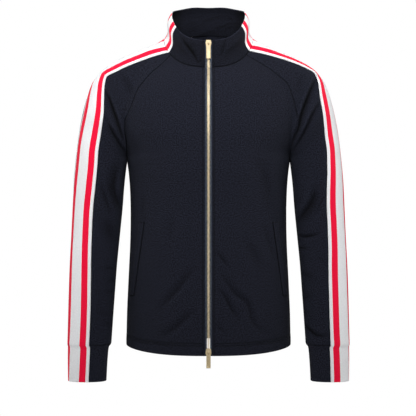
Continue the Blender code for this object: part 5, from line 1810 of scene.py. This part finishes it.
def add_bail():
    """The arch over the pull's bar: a face at its foot, spun half a turn."""
    bpy.ops.object.select_all(action="DESELECT")
    root = BAIL_SINKS - PLATE_GAP - PLATE
    foot = (0.0, root, BAIL_FOOT_Z)
    upright = (math.pi / 2, 0.0, 0.0)
    bpy.ops.mesh.primitive_plane_add(size=BAIL_WIDE, location=foot, rotation=upright)
    bail = bpy.context.object
    bpy.ops.object.transform_apply(location=True, rotation=True, scale=True)
    bpy.ops.object.mode_set(mode="EDIT")
    bpy.ops.mesh.select_all(action="SELECT")
    draw_in(1.0, 1.0, 0.46, foot)
    bpy.ops.mesh.spin(steps=12, angle=math.pi, center=(0.0, root, 0.0), axis=(1.0, 0.0, 0.0))
    bpy.ops.mesh.select_all(action="SELECT")
    bpy.ops.mesh.remove_doubles(threshold=0.00001)
    bpy.ops.mesh.normals_make_consistent(inside=False)
    bpy.ops.object.mode_set(mode="OBJECT")
    reach = root - min(corner.co.y for corner in bail.data.vertices)
    for corner in bail.data.vertices:
        corner.co.y = root - BAIL_HIGH * (root - corner.co.y) / reach
    soften(bail, 0.0003)
    return bail


def join_pieces(name, pieces, place):
    """Joins pieces and puts them at their place, with the place in the mesh."""
    bpy.ops.object.select_all(action="DESELECT")
    for piece in pieces:
        piece.select_set(True)
    bpy.context.view_layer.objects.active = pieces[0]
    if len(pieces) > 1:
        bpy.ops.object.join()
    whole = pieces[0]
    whole.name = name
    whole.matrix_world = place @ whole.matrix_world
    bpy.ops.object.transform_apply(location=True, rotation=True, scale=True)
    return whole


def add_slider(name, place):
    front = add_plate("front_plate", -PLATE_GAP - PLATE, -PLATE_GAP, -1)
    back = add_plate("back_plate", PLATE_GAP, PLATE_GAP + PLATE, 1)
    into = PLATE_GAP + SINKS_IN
    post = new_block("post", (-POST_HALF, -into, POST_LOW), (POST_HALF, into, POST_HIGH))
    soften(post, 0.0004)
    slider = join_pieces(name, [front, back, post, add_bail(), *add_rails()], place)
    declare(slider, [slider_gold], "garment", name.removesuffix("_metal"))
    print(name, len(slider.data.polygons), "faces")


add_slider("slider_top_metal", TOP_PLACE)
add_slider("slider_bottom_metal", BOTTOM_PLACE)

# %% Pull
PULL_LONG, PULL_WIDE, PULL_THICK = 0.0335, 0.0090, 0.0014
PULL_HEAD = 0.0007  # how far it reaches above its pivot
WINDOW_TOP, WINDOW_FOOT, PANEL_TOP, WINDOW_HALF = -0.0007, -0.0075, -0.0092, 0.0020
PANEL_INSET, PANEL_EDGE, PANEL_DEEP = 0.0011, 0.0004, 0.00035
TOP_PIVOT = Matrix.Translation((0.0, -0.081557, -0.017557)) @ Matrix.Rotation(-0.08703, 4, "X")
BOTTOM_PIVOT = Matrix.Translation((0.0, -0.11826, -0.66972))


def add_pull(name, body, place):
    """A long plate with a window at the top for the arch, and a sunk panel down its face."""
    half, thick = PULL_WIDE / 2, PULL_THICK / 2
    pull = new_block(name, (-half, -thick, -PULL_LONG), (half, thick, PULL_HEAD))
    bpy.ops.object.mode_set(mode="EDIT")
    cut_across(2, (WINDOW_TOP, WINDOW_FOOT, PANEL_TOP))
    cut_across(0, (-WINDOW_HALF, WINDOW_HALF))
    choose(pull, lambda at, normal: abs(normal.y) > 0.9 and abs(at.x) < WINDOW_HALF
           and WINDOW_FOOT < at.z < WINDOW_TOP)
    bpy.ops.mesh.bridge_edge_loops()
    choose(pull, lambda at, normal: abs(normal.y) > 0.9 and at.z < PANEL_TOP)
    bpy.ops.mesh.inset(thickness=PANEL_INSET, depth=0.0)
    bpy.ops.mesh.inset(thickness=PANEL_EDGE, depth=-PANEL_DEEP)
    choose(pull, lambda at: at.z > 0.9 * PULL_HEAD, "VERT")
    draw_in(0.78, 1.0, 1.0)
    bpy.ops.object.mode_set(mode="OBJECT")
    soften(pull, 0.00025)
    pull = join_pieces(name, [pull], place)
    declare(pull, [slider_gold], body, body)
    print(name, len(pull.data.polygons), "faces")


add_pull("pull_top_metal", "pull_top", TOP_PIVOT)
add_pull("pull_bottom_metal", "pull_bottom", BOTTOM_PIVOT)
